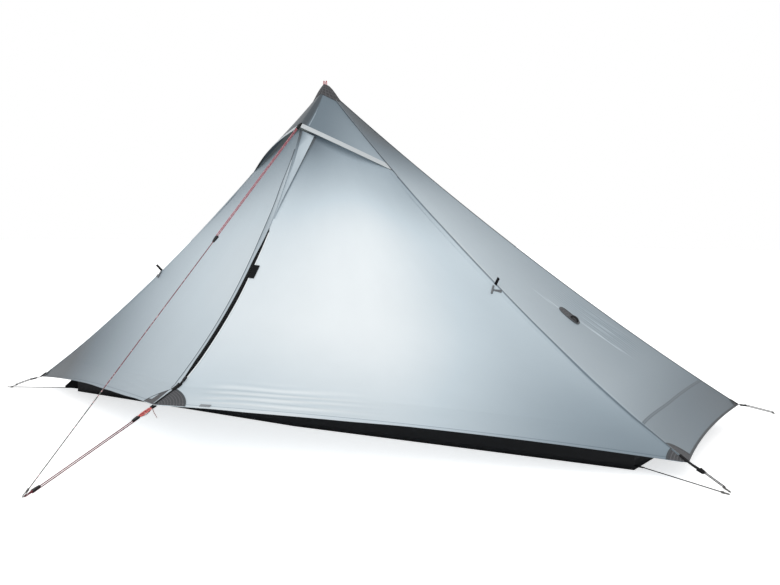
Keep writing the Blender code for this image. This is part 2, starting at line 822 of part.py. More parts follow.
def build_mesh():
    """The insect mesh: a wall under the front ridges, its door, and a strip round the sides."""
    dark = (0.06, 0.06, 0.06)
    low = floor_wall + gap

    def left(across, share):
        x = -mesh_end_x * (1 - across * 14 / 13) if across < 13 / 14 else \
            mesh_seam_x * (across * 14 - 13) - 1e-9
        top = min(mesh_ridge(x).z, mesh_top_height)
        return mesh_wall_point(x, top + (low - top) * share)

    def above_door(across, share):
        columns = 12
        turn = (columns - 2) / columns
        if across <= turn + 1e-5:
            x = mesh_seam_x + gap + (mesh_door_reach - mesh_seam_x - gap) * across / turn
            bottom = mesh_axis_height(x) + gap
        else:
            x = mesh_door_reach + (mesh_end_x - mesh_door_reach) * (across - turn) / (1 - turn)
            bottom = low
        top = min(mesh_ridge(x).z, mesh_top_height)
        return mesh_wall_point(x, top + (bottom - top) * share)

    def door(across, share):
        x = mesh_seam_x + mesh_side_gap + (mesh_door_reach - 0.012 - mesh_seam_x) * across
        top = mesh_axis_height(x) - gap
        return mesh_wall_point(x, top + (low - top) * share)

    sheet_object("mesh_wall_left", left, 14, 8, mesh_thickness, dark)
    sheet_object("mesh_wall_right", above_door, 12, 3, mesh_thickness, dark)
    sheet_object("mesh_door", door, 10, 8, mesh_thickness, dark, origin=mesh_axis_point())

    half = floor_length / 2

    def strip(across, share):
        """Round the right end, the back and the left end, in thirds."""
        if across < 1 / 3:
            along = across * 3
            side, on = 1, skirt_end_share + (1 - 2 * skirt_end_share) * along
        elif across > 2 / 3:
            along = (1 - across) * 3
            side, on = -1, skirt_end_share + (1 - 2 * skirt_end_share) * along
        else:
            side = 0
            along = (across - 1 / 3) * 3
            on = skirt_back_share + (1 - 2 * skirt_back_share) * along
        sink = -(fabric + gap * 2)
        foot = low + mesh_thickness * 0.7
        if side:
            corner_x = front_corner_x + (back_corner_x - front_corner_x) * on
            at = (half + skirt_lean) / corner_x
            high = lifted(lambda a, s: end_surface(side, a, s), on, at, sink)
            base_y = floor_front_y + 0.010 + (floor_back_y - floor_front_y - 0.014) * along
            base = Vector((side * (half - floor_fabric / 2), base_y, foot))
        else:
            bow = 4 * on * (1 - on)
            at = (floor_back_y + skirt_lean) / (back_corner_y - back_hem_draw * bow)
            high = lifted(back_surface, on, at, sink)
            base = Vector(((half - 0.004) * (1 - 2 * along), floor_back_y - floor_fabric / 2, foot))
        return high.lerp(base, share)

    sheet_object("mesh_skirt", strip, 24, 1, mesh_thickness, dark)


def build_pole():
    """The three-part pole inside: sliding tubes, a lever clamp on each joint, a plug and a foot."""
    grey = (0.25, 0.25, 0.27)
    floor_top = floor_fabric + gap
    top = peak_height - pole_head_room - pole_plug_length
    lower_top = middle_foot + tube_overlap
    middle_top = upper_foot + tube_overlap

    def pipe(name, outer, foot, head):
        hole = outer - tube_wall
        profile = [(outer, foot), (outer, head), (hole, head), (hole, foot)]
        smooth(add_object(name, turned_mesh(profile, 16), grey, 0.35, 0.8))

    pipe("pole_upper", upper_radius, upper_foot, top)
    pipe("pole_middle", middle_radius, middle_foot, middle_top)
    seat = floor_top + pole_foot_floor
    solid = [(0, seat), (lower_radius, seat), (lower_radius, lower_top), (0, lower_top)]
    smooth(add_object("pole_lower", turned_mesh(solid, 16), grey, 0.35, 0.8))
    plug = [(0, top + gap), (upper_radius, top + gap), (upper_radius, top + 0.012),
            (pole_tip_radius, top + pole_plug_length), (0, top + pole_plug_length)]
    smooth(add_object("pole_tip", turned_mesh(plug, 16), (0.04, 0.04, 0.04), 0.6))
    inner = lower_radius + gap
    foot = [(0, floor_top), (foot_radius, floor_top), (inner + 0.001, floor_top + foot_length),
            (inner, floor_top + foot_length), (inner, seat - gap), (0, seat - gap)]
    smooth(add_object("pole_foot", turned_mesh(foot, 16), (0.03, 0.03, 0.03), 0.9))
    for word, radius, height in (("upper", upper_radius, upper_foot),
                                 ("lower", middle_radius, middle_foot)):
        inside = radius + gap
        base = height + 0.002
        ring = [(collar_radius, base), (collar_radius, base + collar_length),
                (inside, base + collar_length), (inside, base)]
        smooth(add_object(f"clamp_{word}", turned_mesh(ring, 16), (0.05, 0.05, 0.05), 0.5))
        pivot = Vector((-collar_radius - lever_gap - lever_thickness / 2, 0,
                        base + collar_length - 0.003))
        upright = Vector((-1, 0, 0))
        lever = sweep_mesh([
            (pivot + Vector((0, 0, 0.0015)), down, upright, lever_width / 2, lever_thickness / 2),
            (pivot - Vector((0, 0, lever_length * 0.7)), down, upright,
             lever_width / 2, lever_thickness / 2),
            (pivot + Vector((-0.001, 0, -lever_length)), down, upright,
             lever_width / 2.4, lever_thickness / 3)])
        add_object(f"lever_{word}", lever, (0.60, 0.08, 0.06), 0.4, origin=pivot)


def build_apex_loops():
    """Two short loops of red cord sewn into the cap."""
    points = []
    for i in range(17):
        angle = math.pi * (i / 16)
        height = peak_height + cap_rise - loop_sink + loop_rise * math.sin(angle)
        points.append(Vector((loop_half_width * math.cos(angle), 0, height)))
    tube("apex_loops", points, 0.0011, (0.8, 0.1, 0.1))


clear_scene()
for side, word in ((1, "right"), (-1, "left")):
    build_front(side, word)
    build_end(side, word)
build_back()
build_hood()
build_cap()
build_zip()
build_straps_and_lines()
build_porch_lines()
build_guy_points()
build_bathtub()
build_mesh()
build_pole()
build_apex_loops()
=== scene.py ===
import math
from functools import partial

import bmesh
import bpy
from mathutils import Matrix, Vector, noise


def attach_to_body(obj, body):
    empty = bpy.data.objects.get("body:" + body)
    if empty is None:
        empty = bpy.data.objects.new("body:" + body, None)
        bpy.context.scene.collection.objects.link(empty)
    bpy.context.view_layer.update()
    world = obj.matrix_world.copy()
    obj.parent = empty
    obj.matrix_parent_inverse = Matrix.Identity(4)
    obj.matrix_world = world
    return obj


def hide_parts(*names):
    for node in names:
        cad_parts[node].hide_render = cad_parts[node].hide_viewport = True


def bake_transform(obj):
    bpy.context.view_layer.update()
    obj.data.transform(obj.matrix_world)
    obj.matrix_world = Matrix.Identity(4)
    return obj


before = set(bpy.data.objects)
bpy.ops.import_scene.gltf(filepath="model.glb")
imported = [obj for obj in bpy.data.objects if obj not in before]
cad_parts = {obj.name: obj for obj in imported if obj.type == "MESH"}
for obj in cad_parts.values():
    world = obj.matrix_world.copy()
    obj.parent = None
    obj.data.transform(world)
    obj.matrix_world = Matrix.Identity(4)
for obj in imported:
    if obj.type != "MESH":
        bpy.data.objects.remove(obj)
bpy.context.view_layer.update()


# Camera: it stands low at the tent's front right, at about the height of a kneeling person.
# Its place and turn were worked out from the tent's own corners, so nothing needs a lens shift.
def add_object(name, data):
    """A new object of this data, linked into the scene."""
    made = bpy.data.objects.new(name, data)
    bpy.context.collection.objects.link(made)
    return made


camera_place = Vector((2.10390, -2.88143, 0.68848))
camera_right = Vector((0.84511, 0.53448, 0.01064))
camera_up = Vector((-0.04235, 0.04709, 0.99799))
camera_data = bpy.data.cameras.new("camera")
camera_data.sensor_width = 36
camera_data.lens = 45.372
camera = add_object("camera", camera_data)
camera_turn = Matrix((camera_right, camera_up, camera_right.cross(camera_up))).transposed()
camera.matrix_world = Matrix.Translation(camera_place) @ camera_turn.to_4x4()
bpy.context.scene.camera = camera
bpy.context.scene.view_settings.view_transform = "Standard"


# Studio: a white floor, a white surrounding and one broad soft lamp from the porch side.
# Together they light a level surface a little darker than the colour it is given.
def set_inputs(node, inputs):
    """Gives each of these inputs a value, or links another node's output to it."""
    for name, value in inputs.items():
        if isinstance(value, bpy.types.NodeSocket):
            node.id_data.links.new(value, node.inputs[name])
        else:
            node.inputs[name].default_value = value


def add_node(tree, kind, inputs, **settings):
    made = tree.nodes.new("ShaderNode" + kind)
    for name, value in settings.items():
        setattr(made, name, value)
    set_inputs(made, inputs)
    return made


def math_node(tree, operation, *terms):
    return add_node(tree, "Math", dict(enumerate(terms)), operation=operation).outputs[0]


def shader(material):
    return material.node_tree.nodes["Principled BSDF"]


def plain_material(name, colour, roughness):
    made = bpy.data.materials.new(name)
    made.use_nodes = True
    set_inputs(shader(made), {"Base Color": (*colour, 1), "Roughness": roughness})
    return made


def mesh_object(name, mesh, finish):
    """An object made of this bmesh, which is freed."""
    data = bpy.data.meshes.new(name)
    mesh.to_mesh(data)
    mesh.free()
    data.materials.append(finish)
    return add_object(name, data)


floor_finish = plain_material("studio_floor", (0.96, 0.96, 0.96), 0.9)
floor_mesh = bmesh.new()
bmesh.ops.create_grid(floor_mesh, x_segments=1, y_segments=1, size=40)
bmesh.ops.translate(floor_mesh, verts=floor_mesh.verts, vec=(0, 0, -0.001))
mesh_object("studio_floor", floor_mesh, floor_finish)

# The camera sees the floor brighter than it lights the tent, so that the floor is white.
floor_lift = 0.65
floor_path = add_node(floor_finish.node_tree, "LightPath", {})
floor_seen = math_node(floor_finish.node_tree, "MULTIPLY", floor_path.outputs["Is Camera Ray"],
                       floor_lift)
set_inputs(shader(floor_finish), {"Emission Color": (1, 1, 1, 1), "Emission Strength": floor_seen})

surrounding_strength = 0.55
world = bpy.data.worlds.new("surrounding")
bpy.context.scene.world = world
world.use_nodes = True
path = add_node(world.node_tree, "LightPath", {}).outputs
seen = math_node(world.node_tree, "MAXIMUM", path["Is Camera Ray"], path["Is Glossy Ray"])
strength = add_node(world.node_tree, "MapRange",
                    {"Value": seen, "To Min": surrounding_strength, "To Max": 1.0})
set_inputs(world.node_tree.nodes["Background"],
           {"Color": (1, 1, 1, 1), "Strength": strength.outputs["Result"]})

lamp_way = Vector((0.25, -0.85, 0.62)).normalized()
lamp_data = bpy.data.lights.new("soft_lamp", "SUN")
lamp_data.angle = math.radians(40)
lamp_data.energy = math.pi * 0.23 / lamp_way.z
lamp = add_object("soft_lamp", lamp_data)
lamp.matrix_world = lamp_way.to_track_quat("Z", "Y").to_matrix().to_4x4()


# Guylines: round braided cord, 3 mm across. The two at the porch are red with a pale
# reflective fleck, and the lower part of the long one is pale. The corner lines are grey.
# Each is tied off in a barrel knot and ends in a narrow loop, where a peg goes.
cord_radius = 0.0015
steps_per_turn = 14
ground_height = 0.0018
peg_loop_length = 0.018


def new_group(name, inputs, outputs):
    """A node group with these sockets: the group, what it is given and its output node."""
    group = bpy.data.node_groups.new(name, "ShaderNodeTree")
    for direction, sockets in (("INPUT", inputs), ("OUTPUT", outputs)):
        for socket, kind in sockets.items():
            group.interface.new_socket(socket, in_out=direction, socket_type="NodeSocket" + kind)
    given = group.nodes.new("NodeGroupInput").outputs
    return group, given, group.nodes.new("NodeGroupOutput")


def braid_group():
    """Colour and bump of a braided cord: a cross-hatched braid with pale flecks in it."""
    group, given, out = new_group("braid", {"Colour": "Color", "Fleck": "Color", "Amount": "Float"},
                                  {"Colour": "Color", "Normal": "Vector"})
    place = add_node(group, "TexCoord", {}).outputs["Object"]
    speck = add_node(group, "TexVoronoi", {"Vector": place, "Scale": 260})
    cut = math_node(group, "LESS_THAN", speck.outputs["Color"], given["Amount"])
    mix = add_node(group, "Mix", {"Factor": cut, "A": given["Colour"], "B": given["Fleck"]},
                   data_type="RGBA")
    hatch = add_node(group, "TexWave", {"Vector": place, "Scale": 300, "Distortion": 1.5},
                     bands_direction="DIAGONAL")
    bump = add_node(group, "Bump", {"Height": hatch.outputs["Fac"], "Strength": 0.5,
                                    "Distance": 0.0003})
    set_inputs(out, {"Colour": mix.outputs["Result"], "Normal": bump.outputs["Normal"]})
    return group


braid = braid_group()


def cord_material(name, colour, fleck, amount):
    made = plain_material(name, colour, 0.65)
    look = add_node(made.node_tree, "Group", {"Colour": (*colour, 1), "Fleck": (*fleck, 1),
                                              "Amount": amount}, node_tree=braid)
    set_inputs(shader(made), {"Base Color": look.outputs["Colour"],
                              "Normal": look.outputs["Normal"]})
    return made


def look_of(material):
    """The group node that gives a material its look."""
    return next(n for n in material.node_tree.nodes if n.type == "GROUP")


def colour_ramp(tree, value, stops):
    ramp = add_node(tree, "ValToRGB", {"Fac": value})
    while len(ramp.color_ramp.elements) < len(stops):
        ramp.color_ramp.elements.new(0.5)
    for element, (at, colour) in zip(ramp.color_ramp.elements, stops):
        element.position = at
        element.color = (*colour, 1)
    return ramp.outputs["Color"]


red_cord = cord_material("red_cord", (0.17, 0.018, 0.032), (0.46, 0.20, 0.22), 0.14)
pale_cord = cord_material("pale_cord", (0.12, 0.12, 0.115), (0.36, 0.36, 0.35), 0.2)
grey_cord = cord_material("grey_cord", (0.028, 0.029, 0.031), (0.12, 0.12, 0.125), 0.15)
corner_cord = cord_material("corner_cord", (0.095, 0.096, 0.099), (0.26, 0.26, 0.265), 0.2)
long_cord = cord_material("long_cord", (0.50, 0.08, 0.11), (0.60, 0.36, 0.38), 0.25)

# The long line is red down to its lock, dusky below it and pale over its last third.
lock_at, pale_from, line_foot = -0.575, -1.020, -1.293
red_dye, dusky_dye, pale_dye = (0.46, 0.115, 0.145), (0.22, 0.075, 0.095), (0.12, 0.125, 0.115)
dyes = ((0.0, red_dye), (lock_at / line_foot, red_dye), (lock_at / line_foot + 0.01, dusky_dye),
        (pale_from / line_foot, dusky_dye), (pale_from / line_foot + 0.01, pale_dye))
dye_tree = long_cord.node_tree
where = add_node(dye_tree, "TexCoord", {})
apart = add_node(dye_tree, "SeparateXYZ", {"Vector": where.outputs["Object"]})
fall = add_node(dye_tree, "MapRange", {"Value": apart.outputs["Y"], "From Min": 0,
                                       "From Max": line_foot})
set_inputs(look_of(long_cord), {"Colour": colour_ramp(dye_tree, fall.outputs["Result"], dyes)})


def cord_curve(name, points, radius, finish, closed=False):
    """A round cord through points, as one spline."""
    data = bpy.data.curves.new(name, "CURVE")
    data.dimensions = "3D"
    data.bevel_depth = radius
    data.bevel_resolution = 3
    data.use_fill_caps = not closed
    spline = data.splines.new("POLY")
    spline.points.add(len(points) - 1)
    spline.use_cyclic_u = closed
    for place, point in zip(spline.points, points):
        place.co = (*point, 1)
    data.materials.append(finish)
    return add_object(name, data)


def straight_run(start, end, count, aside=(0, 0, 0)):
    return [start.lerp(end, i / (count - 1)) + Vector(aside) for i in range(count)]


def winding(middle, way, radius, length, turns):
    """The points of a helix round a line, for a knot or a whipping."""
    turn = way.to_track_quat("Z", "Y").to_matrix()
    count = int(turns * steps_per_turn)
    points = []
    for i in range(count + 1):
        angle = math.tau * turns * i / count
        along = length * (i / count - 0.5)
        spot = Vector((radius * math.cos(angle), radius * math.sin(angle), along))
        points.append(middle + turn @ spot)
    return points


def peg_loop(name, end, way, finish):
    """The narrow loop that goes over a peg, in line with the cord, and its barrel knot."""
    sideways = way.cross(Vector((0, 0, 1))).normalized()
    ring = []
    for i in range(24):
        angle = math.tau * i / 24
        back = peg_loop_length * 0.5 * (1 - math.cos(angle))
        ring.append(end - way * back + sideways * (0.0030 * math.sin(angle)))
    loop = cord_curve(name + "_loop", ring, cord_radius * 0.85, finish, closed=True)
    knot_middle = end - way * (peg_loop_length + 0.003)
    knot = cord_curve(name + "_knot", winding(knot_middle, way, 0.0023, 0.0100, 4.0),
                      cord_radius * 0.75, finish)
    return loop, knot


def attach(piece, body="tent"):
    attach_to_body(piece, body)


def second_strand(name, points, finish):
    """The strand that runs back beside a line."""
    strand = cord_curve(name, points, cord_radius, finish)
    attach(strand)


def guyline(name, start, end, count, finish, end_finish, extra=()):
    """One taut line, its knot and its peg loop, in place of the plain tube."""
    way = (end - start).normalized()
    last = end - way * peg_loop_length
    line = cord_curve(name + "_cord", straight_run(start, last, count), cord_radius, finish)
    ends = peg_loop(name, end, way, end_finish)
    for piece in (line, *ends, *extra):
        attach(piece)
    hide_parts(name)
    return last


# Above its lock the long line is doubled: it runs up to the hood's tab and back.
main_start = Vector((0, -0.16213, 1.03497))
main_end = Vector((0, -1.293, ground_height))
main_way = (main_end - main_start).normalized()
lock_top = main_start + main_way * 0.5475
beside_line = -Vector((1, 0, 0)).cross(main_way) * 0.0050
guyline("guyline_main", main_start, main_end, 24, long_cord, pale_cord)
second_strand("guyline_main_back", straight_run(main_start, lock_top, 20, beside_line), long_cord)

# The porch line starts in a short loop of thick red elastic, with a thin pale one below it.
porch_start = Vector((0, -0.85052, 0.16508))
porch_end = Vector((0, -1.287, ground_height))
porch_way = (porch_end - porch_start).normalized()
porch_under = Vector((1, 0, 0)).cross(porch_way)
elastic_length = 0.047
elastic = cord_material("elastic", (0.68, 0.12, 0.11), (0.80, 0.34, 0.30), 0.30)
keeper_cord = cord_material("keeper_cord", (0.34, 0.22, 0.21), (0.62, 0.56, 0.55), 0.3)
elastic_ring = []
for i in range(28):
    angle = math.tau * i / 28
    along = elastic_length * 0.5 * (1 - math.cos(angle))
    spread = 0.0058 * math.copysign(abs(math.sin(angle)) ** 0.5, math.sin(angle))
    elastic_ring.append(porch_start + porch_way * along + Vector((spread, 0, 0)))
elastic_knot = winding(porch_start + porch_way * (elastic_length + 0.002), porch_way, 0.0024,
                       0.008, 3.5)
keeper = [porch_start + porch_under * (0.0036 + 0.0050 * math.sin(math.pi * i / 14))
          + porch_way * (0.044 * i / 14 - 0.001) for i in range(15)]
tail = [porch_start + Vector((0.004 + 0.018 * (i / 12) ** 1.4, 0.004, -0.002 - 0.024 * i / 12))
        for i in range(13)]
guyline("guyline_porch", porch_start, porch_end, 16, red_cord, red_cord,
        extra=(cord_curve("porch_elastic", elastic_ring, 0.0024, elastic, closed=True),
               cord_curve("porch_elastic_knot", elastic_knot, 0.0011, elastic),
               cord_curve("porch_keeper", keeper, 0.0013, keeper_cord),
               cord_curve("porch_tail", tail, 0.0011, keeper_cord)))

# Between its two locks the porch line is doubled too; the second strand runs below them.
porch_first = porch_start + porch_way * 0.0500
porch_last = porch_end - porch_way * 0.0240
second_strand("guyline_porch_back",
              straight_run(porch_first, porch_last, 18, porch_under * 0.0051), red_cord)

# The corner lines are loops, so each is doubled, with its second strand above the first.
corner_lines = {
    "line_front_right": ((1.41924, -0.17418, 0.03564), (1.496, -0.205, ground_height)),
    "line_front_left": ((-1.42284, -0.16484, 0.03805), (-1.523, -0.185, ground_height)),
    "line_back_right": ((1.30523, 0.81142, 0.06747), (1.3573, 1.0936, ground_height)),
    "line_back_left": ((-1.30523, 0.81142, 0.06747), (-1.3573, 1.0936, ground_height)),
}
for name, ends in corner_lines.items():
    start, end = map(Vector, ends)
    last = guyline(name, start, end, 12, corner_cord, pale_cord)
    second_strand(name + "_back", straight_run(start, last, 12, (0, 0, 0.0042)), corner_cord)
guyline("floor_line_right", Vector((1.22904, -0.10961, 0.01214)),
        Vector((1.499, -0.229, ground_height)), 12, grey_cord, pale_cord)
guyline("floor_line_left", Vector((-1.22973, -0.10720, 0.01213)),
        Vector((-1.526, -0.209, ground_height)), 12, grey_cord, pale_cord)


# Fly: thin silicone-coated nylon, cut on curves so that each ridge and hem pulls tight.
# These are the curves of the cut, the same as in the solids. Each panel is one cloth, laid
# on them, with the small ripples that a pitched tent has.
sides = ((1, "right"), (-1, "left"))
peak_height = 1.200
peak = Vector((0, 0, peak_height))
upward = Vector((0, 0, 1))
inside_point = Vector((0, 0.10, 0.40))
hood_tip = Vector((0, -0.150, 1.046))
zip_top = Vector((0, -0.1445, 1.038))
zip_foot = Vector((0, -0.735, 0.2156))
porch_point = Vector((0, -0.839, 0.174))
zip_bow = 0.070
zip_foot_share = 0.90
hood_end_share = 0.224
hood_band_width = 0.018
door_top_share = 0.05
cap_share = 0.036
seam_share = 0.90
cloth_thickness = 0.0006


def front_corner(side):
    return Vector((side * 1.369, -0.154, 0.0545))


def back_corner(side):
    return Vector((side * 1.295, 0.756, 0.078))


def front_ridge(side, share):
    return peak.lerp(front_corner(side), share) - upward * (4 * 0.0667 * share * (1 - share))


def back_ridge(side, share):
    return peak.lerp(back_corner(side), share) - upward * (4 * 0.0475 * share * (1 - share))


chord = zip_foot - zip_top
arc_radius = (chord.length ** 2 / 4 + zip_bow ** 2) / (2 * zip_bow)
chord_normal = Vector((0, chord.z, -chord.y)).normalized()
arc_centre = (zip_foot + zip_top) / 2 + chord_normal * (arc_radius - zip_bow)
arc_turn = 2 * math.asin(chord.length / 2 / arc_radius)
arc_turn *= 1 if (zip_top - arc_centre).cross(zip_foot - arc_centre).x > 0 else -1


def zip_line(share):
    """The door's free edge: the zip's arc, then a short straight edge to the porch point."""
    if share > zip_foot_share:
        return zip_foot.lerp(porch_point, (share - zip_foot_share) / (1 - zip_foot_share))
    turn = Matrix.Rotation(arc_turn * share / zip_foot_share, 3, "X")
    return arc_centre + turn @ (zip_top - arc_centre)


def front_surface(side, across, share):
    """The front panel: across runs from the zip to the ridge, share from the vent to the hem."""
    top = hood_end_share + hood_band_width / 2
    ridge_point = front_ridge(side, top + (1 - top) * share)
    rise = 4 * 0.0175 * across * (1 - across) * share ** 3
    return zip_line(share).lerp(ridge_point, across) + upward * rise


def end_surface(side, across, share):
    """The end panel: across runs from the front ridge to the back ridge."""
    draw = 4 * 0.022 * across * (1 - across) * share ** 3
    point = front_ridge(side, share).lerp(back_ridge(side, share), across)
    return point - Vector((side * draw, 0, 0))


def back_surface(across, share):
    """The back panel: across runs from the right ridge to the left ridge."""
    bow = 4 * across * (1 - across) * share ** 3
    point = back_ridge(1, share).lerp(back_ridge(-1, share), across)
    return point + upward * (0.040 * bow) - Vector((0, 0.030 * bow, 0))


def hood_surface(across, share):
    """The hood: across runs from the left ridge over the crease to the right ridge.

    Each half swells forward over the vent.
    """
    side = 1 if across >= 0.5 else -1
    away = min(abs(across - 0.5) * 2, 1)
    flat = peak.lerp(hood_tip, share).lerp(front_ridge(side, share * hood_end_share), away)
    swell = 0.035 * math.sin(math.pi * away ** 0.90) * max(share, 0) ** 1.5
    if side < 0:
        swell -= 0.009 * math.sin(math.pi * away) * max(share, 0) ** 2
    return flat + Vector((side * 0.37, -0.93, 0.05)) * swell


slope_step = 0.004


def outward(surface, across, share):
    """The outward normal of a surface, from points a small step either way."""
    along = surface(across + slope_step, share) - surface(across - slope_step, share)
    fall = surface(across, share + slope_step) - surface(across, share - slope_step)
    normal = along.cross(fall).normalized()
    return normal if normal.dot(surface(across, share) - inside_point) > 0 else -normal


# The panels of each side: 1 is the right and -1 the left.
front_faces = {side: partial(front_surface, side) for side, word in sides}
end_faces = {side: partial(end_surface, side) for side, word in sides}


def between(face, low, high):
    """A surface or a shade with its share running from low to high only."""
    return lambda across, share: face(across, low + (high - low) * share)


def smoothstep(low, high, value):
    t = min(max((value - low) / (high - low), 0), 1)
    return t * t * (3 - 2 * t)


def window(low, rise, fall, high, value):
    """1 between rise and fall, and softly down to 0 at low and at high."""
    return smoothstep(low, rise, value) * (1 - smoothstep(fall, high, value))


def off_edges(across, width):
    """0 at both side edges, and 1 from this width inwards."""
    return smoothstep(0, width, across) * smoothstep(0, width, 1 - across)


def bell(value, width):
    return math.exp(-(value / width) ** 2)


def grey(value):
    """A shade written as 0 to 255, as a linear brightness."""
    return ((max(value, 1) / 255 + 0.055) / 1.055) ** 2.4


def bend_with_door(piece):
    """A piece on a door, which opens along the line from the head of the zip to the hem: its place is
    only baked into its mesh.
    """
    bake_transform(piece)


def laid_cloth(name, surface, columns, rows, size, finish, shade=None, ripple=None,
               thickness=cloth_thickness, squeeze=1.0, inside=None, slot="fly_fabric",
               body="tent", nodes=()):
    """One cloth: a grid laid on a surface, given its ripples, its painted light and shade, and its
    thickness.

    size is the cloth's rough width and length, for the weave. squeeze above 1 sets the rows closer
    together towards the hem. inside is the finish of its inner side. body is what it rides on, or 1 or
    -1 for a side of the door, where the piece is only baked in place. nodes are its solids.
    """
    mesh = bmesh.new()
    bmesh.ops.create_grid(mesh, x_segments=columns, y_segments=rows, size=0.5)
    weave = mesh.loops.layers.uv.new("weave")
    painted_tone = mesh.verts.layers.float.new("painted_tone")
    for face in mesh.faces:
        face.smooth = True
        for loop in face.loops:
            spot = loop.vert.co
            loop[weave].uv = ((spot.x + 0.5) * size[0], (spot.y + 0.5) * size[1])
    for vert in mesh.verts:
        across = vert.co.x + 0.5
        share = 1 - (1 - (vert.co.y + 0.5)) ** squeeze
        point = surface(across, share)
        if ripple is not None:
            lift = ripple(across, share, point)
            point = point + outward(surface, across, share) * lift
        vert[painted_tone] = 0.5 if shade is None else shade(across, share)
        vert.co = point
    bmesh.ops.remove_doubles(mesh, verts=mesh.verts, dist=1e-6)
    for edge in mesh.edges:
        edge.smooth = not edge.is_boundary
    mesh.normal_update()
    facing = sum(f.normal.dot(f.calc_center_median() - inside_point) for f in mesh.faces)
    if facing < 0:
        bmesh.ops.reverse_faces(mesh, faces=mesh.faces)
    made = mesh_object(name, mesh, finish)
    wall = made.modifiers.new("cloth", "SOLIDIFY")
    wall.thickness = thickness
    wall.offset = -1
    if inside is not None:
        made.data.materials.append(inside)
        wall.material_offset = 1
    if nodes:
        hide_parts(*nodes)
    if body in dict(sides):
        bend_with_door(made)
    else:
        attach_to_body(made, body)
    return made


def crossed_waves(tree, inputs):
    """Two sets of waves that cross, as the warp and the weft of a cloth do."""
    return [add_node(tree, "TexWave", inputs, bands_direction=way).outputs["Fac"] for way in "XY"]


def weave_group():
    """Colour, roughness and bump of a plain weave, and the soft mottle of its coating."""
    group, given, out = new_group(
        "weave", {"Vector": "Vector", "Colour": "Color", "Threads": "Float", "Depth": "Float",
                  "Mottle": "Float", "Roughness": "Float"},
        {"Colour": "Color", "Roughness": "Float", "Normal": "Vector"})
    threads = crossed_waves(group, {"Vector": given["Vector"], "Scale": given["Threads"],
                                    "Distortion": 0.3})
    soft = add_node(group, "TexNoise", {"Vector": given["Vector"], "Scale": 7, "Detail": 3})
    spread = math_node(group, "SUBTRACT", soft.outputs["Fac"], 0.5)
    scaled = math_node(group, "MULTIPLY_ADD", spread, given["Mottle"], 1.0)
    tint = add_node(group, "VectorMath", {0: given["Colour"], "Scale": scaled}, operation="SCALE")
    bump = add_node(group, "Bump", {"Strength": 0.35, "Distance": given["Depth"],
                                    "Height": math_node(group, "MULTIPLY", *threads)})
    set_inputs(out, {"Colour": tint.outputs[0], "Normal": bump.outputs["Normal"],
                     "Roughness": math_node(group, "MULTIPLY", given["Roughness"], scaled)})
    return group


weave = weave_group()
tone_stops = ((0.06, (0.045, 0.060, 0.073)), (0.16, (0.119, 0.162, 0.197)),
              (0.352, (0.286, 0.352, 0.402)), (0.644, (0.556, 0.644, 0.700)),
              (0.90, (0.852, 0.900, 0.922)))


def cloth_material(name, colour, threads, depth, mottle, roughness, sheen=0.0, toned=False,
                   grid=None):
    """A woven finish. A toned one takes its brightness from the painted light and shade laid on the
    cloth, and a grid one has the square of thicker threads that stops a tear."""
    made = plain_material(name, colour, roughness)
    tree = made.node_tree
    chart = add_node(tree, "UVMap", {}, uv_map="weave").outputs["UV"]
    look = add_node(tree, "Group", {"Vector": chart, "Colour": (*colour, 1), "Threads": threads,
                                    "Depth": depth, "Mottle": mottle, "Roughness": roughness},
                    node_tree=weave)
    if toned:
        painted_tone = add_node(tree, "Attribute", {}, attribute_name="painted_tone")
        set_inputs(look, {"Colour": colour_ramp(tree, painted_tone.outputs["Fac"], tone_stops)})
    if grid is not None:
        spacing, light = grid
        lines = crossed_waves(tree, {"Vector": chart, "Scale": math.pi / 10 / spacing})
        edge = add_node(tree, "MapRange", {"Value": math_node(tree, "MAXIMUM", *lines),
                                           "From Min": 0.80, "From Max": 0.97})
        both = add_node(tree, "Mix", {"Factor": edge.outputs["Result"], "A": (*colour, 1),
                                      "B": (*light, 1)}, data_type="RGBA")
        set_inputs(look, {"Colour": both.outputs["Result"]})
    set_inputs(shader(made), {"Sheen Weight": sheen, "Base Color": look.outputs["Colour"],
                              "Roughness": look.outputs["Roughness"],
                              "Normal": look.outputs["Normal"]})
    return made


fly_look = ((0.57, 0.64, 0.68), 900, 0.00008, 0.05)
fly_cloth = cloth_material("fly_cloth", *fly_look, 0.52, sheen=0.1, toned=True)

# The cloth is thin enough to let daylight through, so its inner side is given a painted glow: it emits
# a little light in its own colour.
fly_inside = cloth_material("fly_inside", *fly_look, 0.60, toned=True)
set_inputs(shader(fly_inside), {"Emission Color": look_of(fly_inside).outputs["Colour"],
                                "Emission Strength": 0.30})


def general_ripple(point, height, spacing, seed):
    """Broad soft waves of a cloth that isn't quite evenly tight."""
    return height * noise.noise(point / spacing + Vector((seed, seed * 1.7, 0)))


# Front panels: the door and the fixed strip beside the ridge are one cloth on each side. On the tent
# the door folds back along the line from the head of the zip to the hem; here the cloth lies shut. Its
# colour carries painted light: a painted glow in the middle, for the light that comes through one
# layer there, and painted shade towards the seams.
front_width, front_length = 1.536, 1.346


# Painted light and shade: a painted glow in the middle, painted shade towards the ridge, the zip and
# the hem, and the painted hem-fold highlights.
def right_shade(across, share):
    value = 243 - 70 * bell(share, 0.17)
    value -= 22 * smoothstep(0.6, 1.0, share)
    value -= (18 + 62 * share ** 1.3) * smoothstep(0.42, 0.95, across)
    value -= 10 * (1 - smoothstep(0.0, 0.35, across)) + 5
    value -= 36 * bell(share, 0.30) * (1 - smoothstep(0.05, 0.6, across))
    value += 17 * bell(share, 0.12) * smoothstep(0.5, 0.8, across)
    # A painted shadow of the hood's brim, just below it beside the zip.
    value -= 60 * bell(share, 0.055) * bell(across, 0.22)
    value += 9 * smoothstep(0.9, 1.0, share) * (1 - smoothstep(0.1, 0.5, across))
    value += hem_fold_highlights(across, share)
    return grey(min(value, 252)) / 0.97


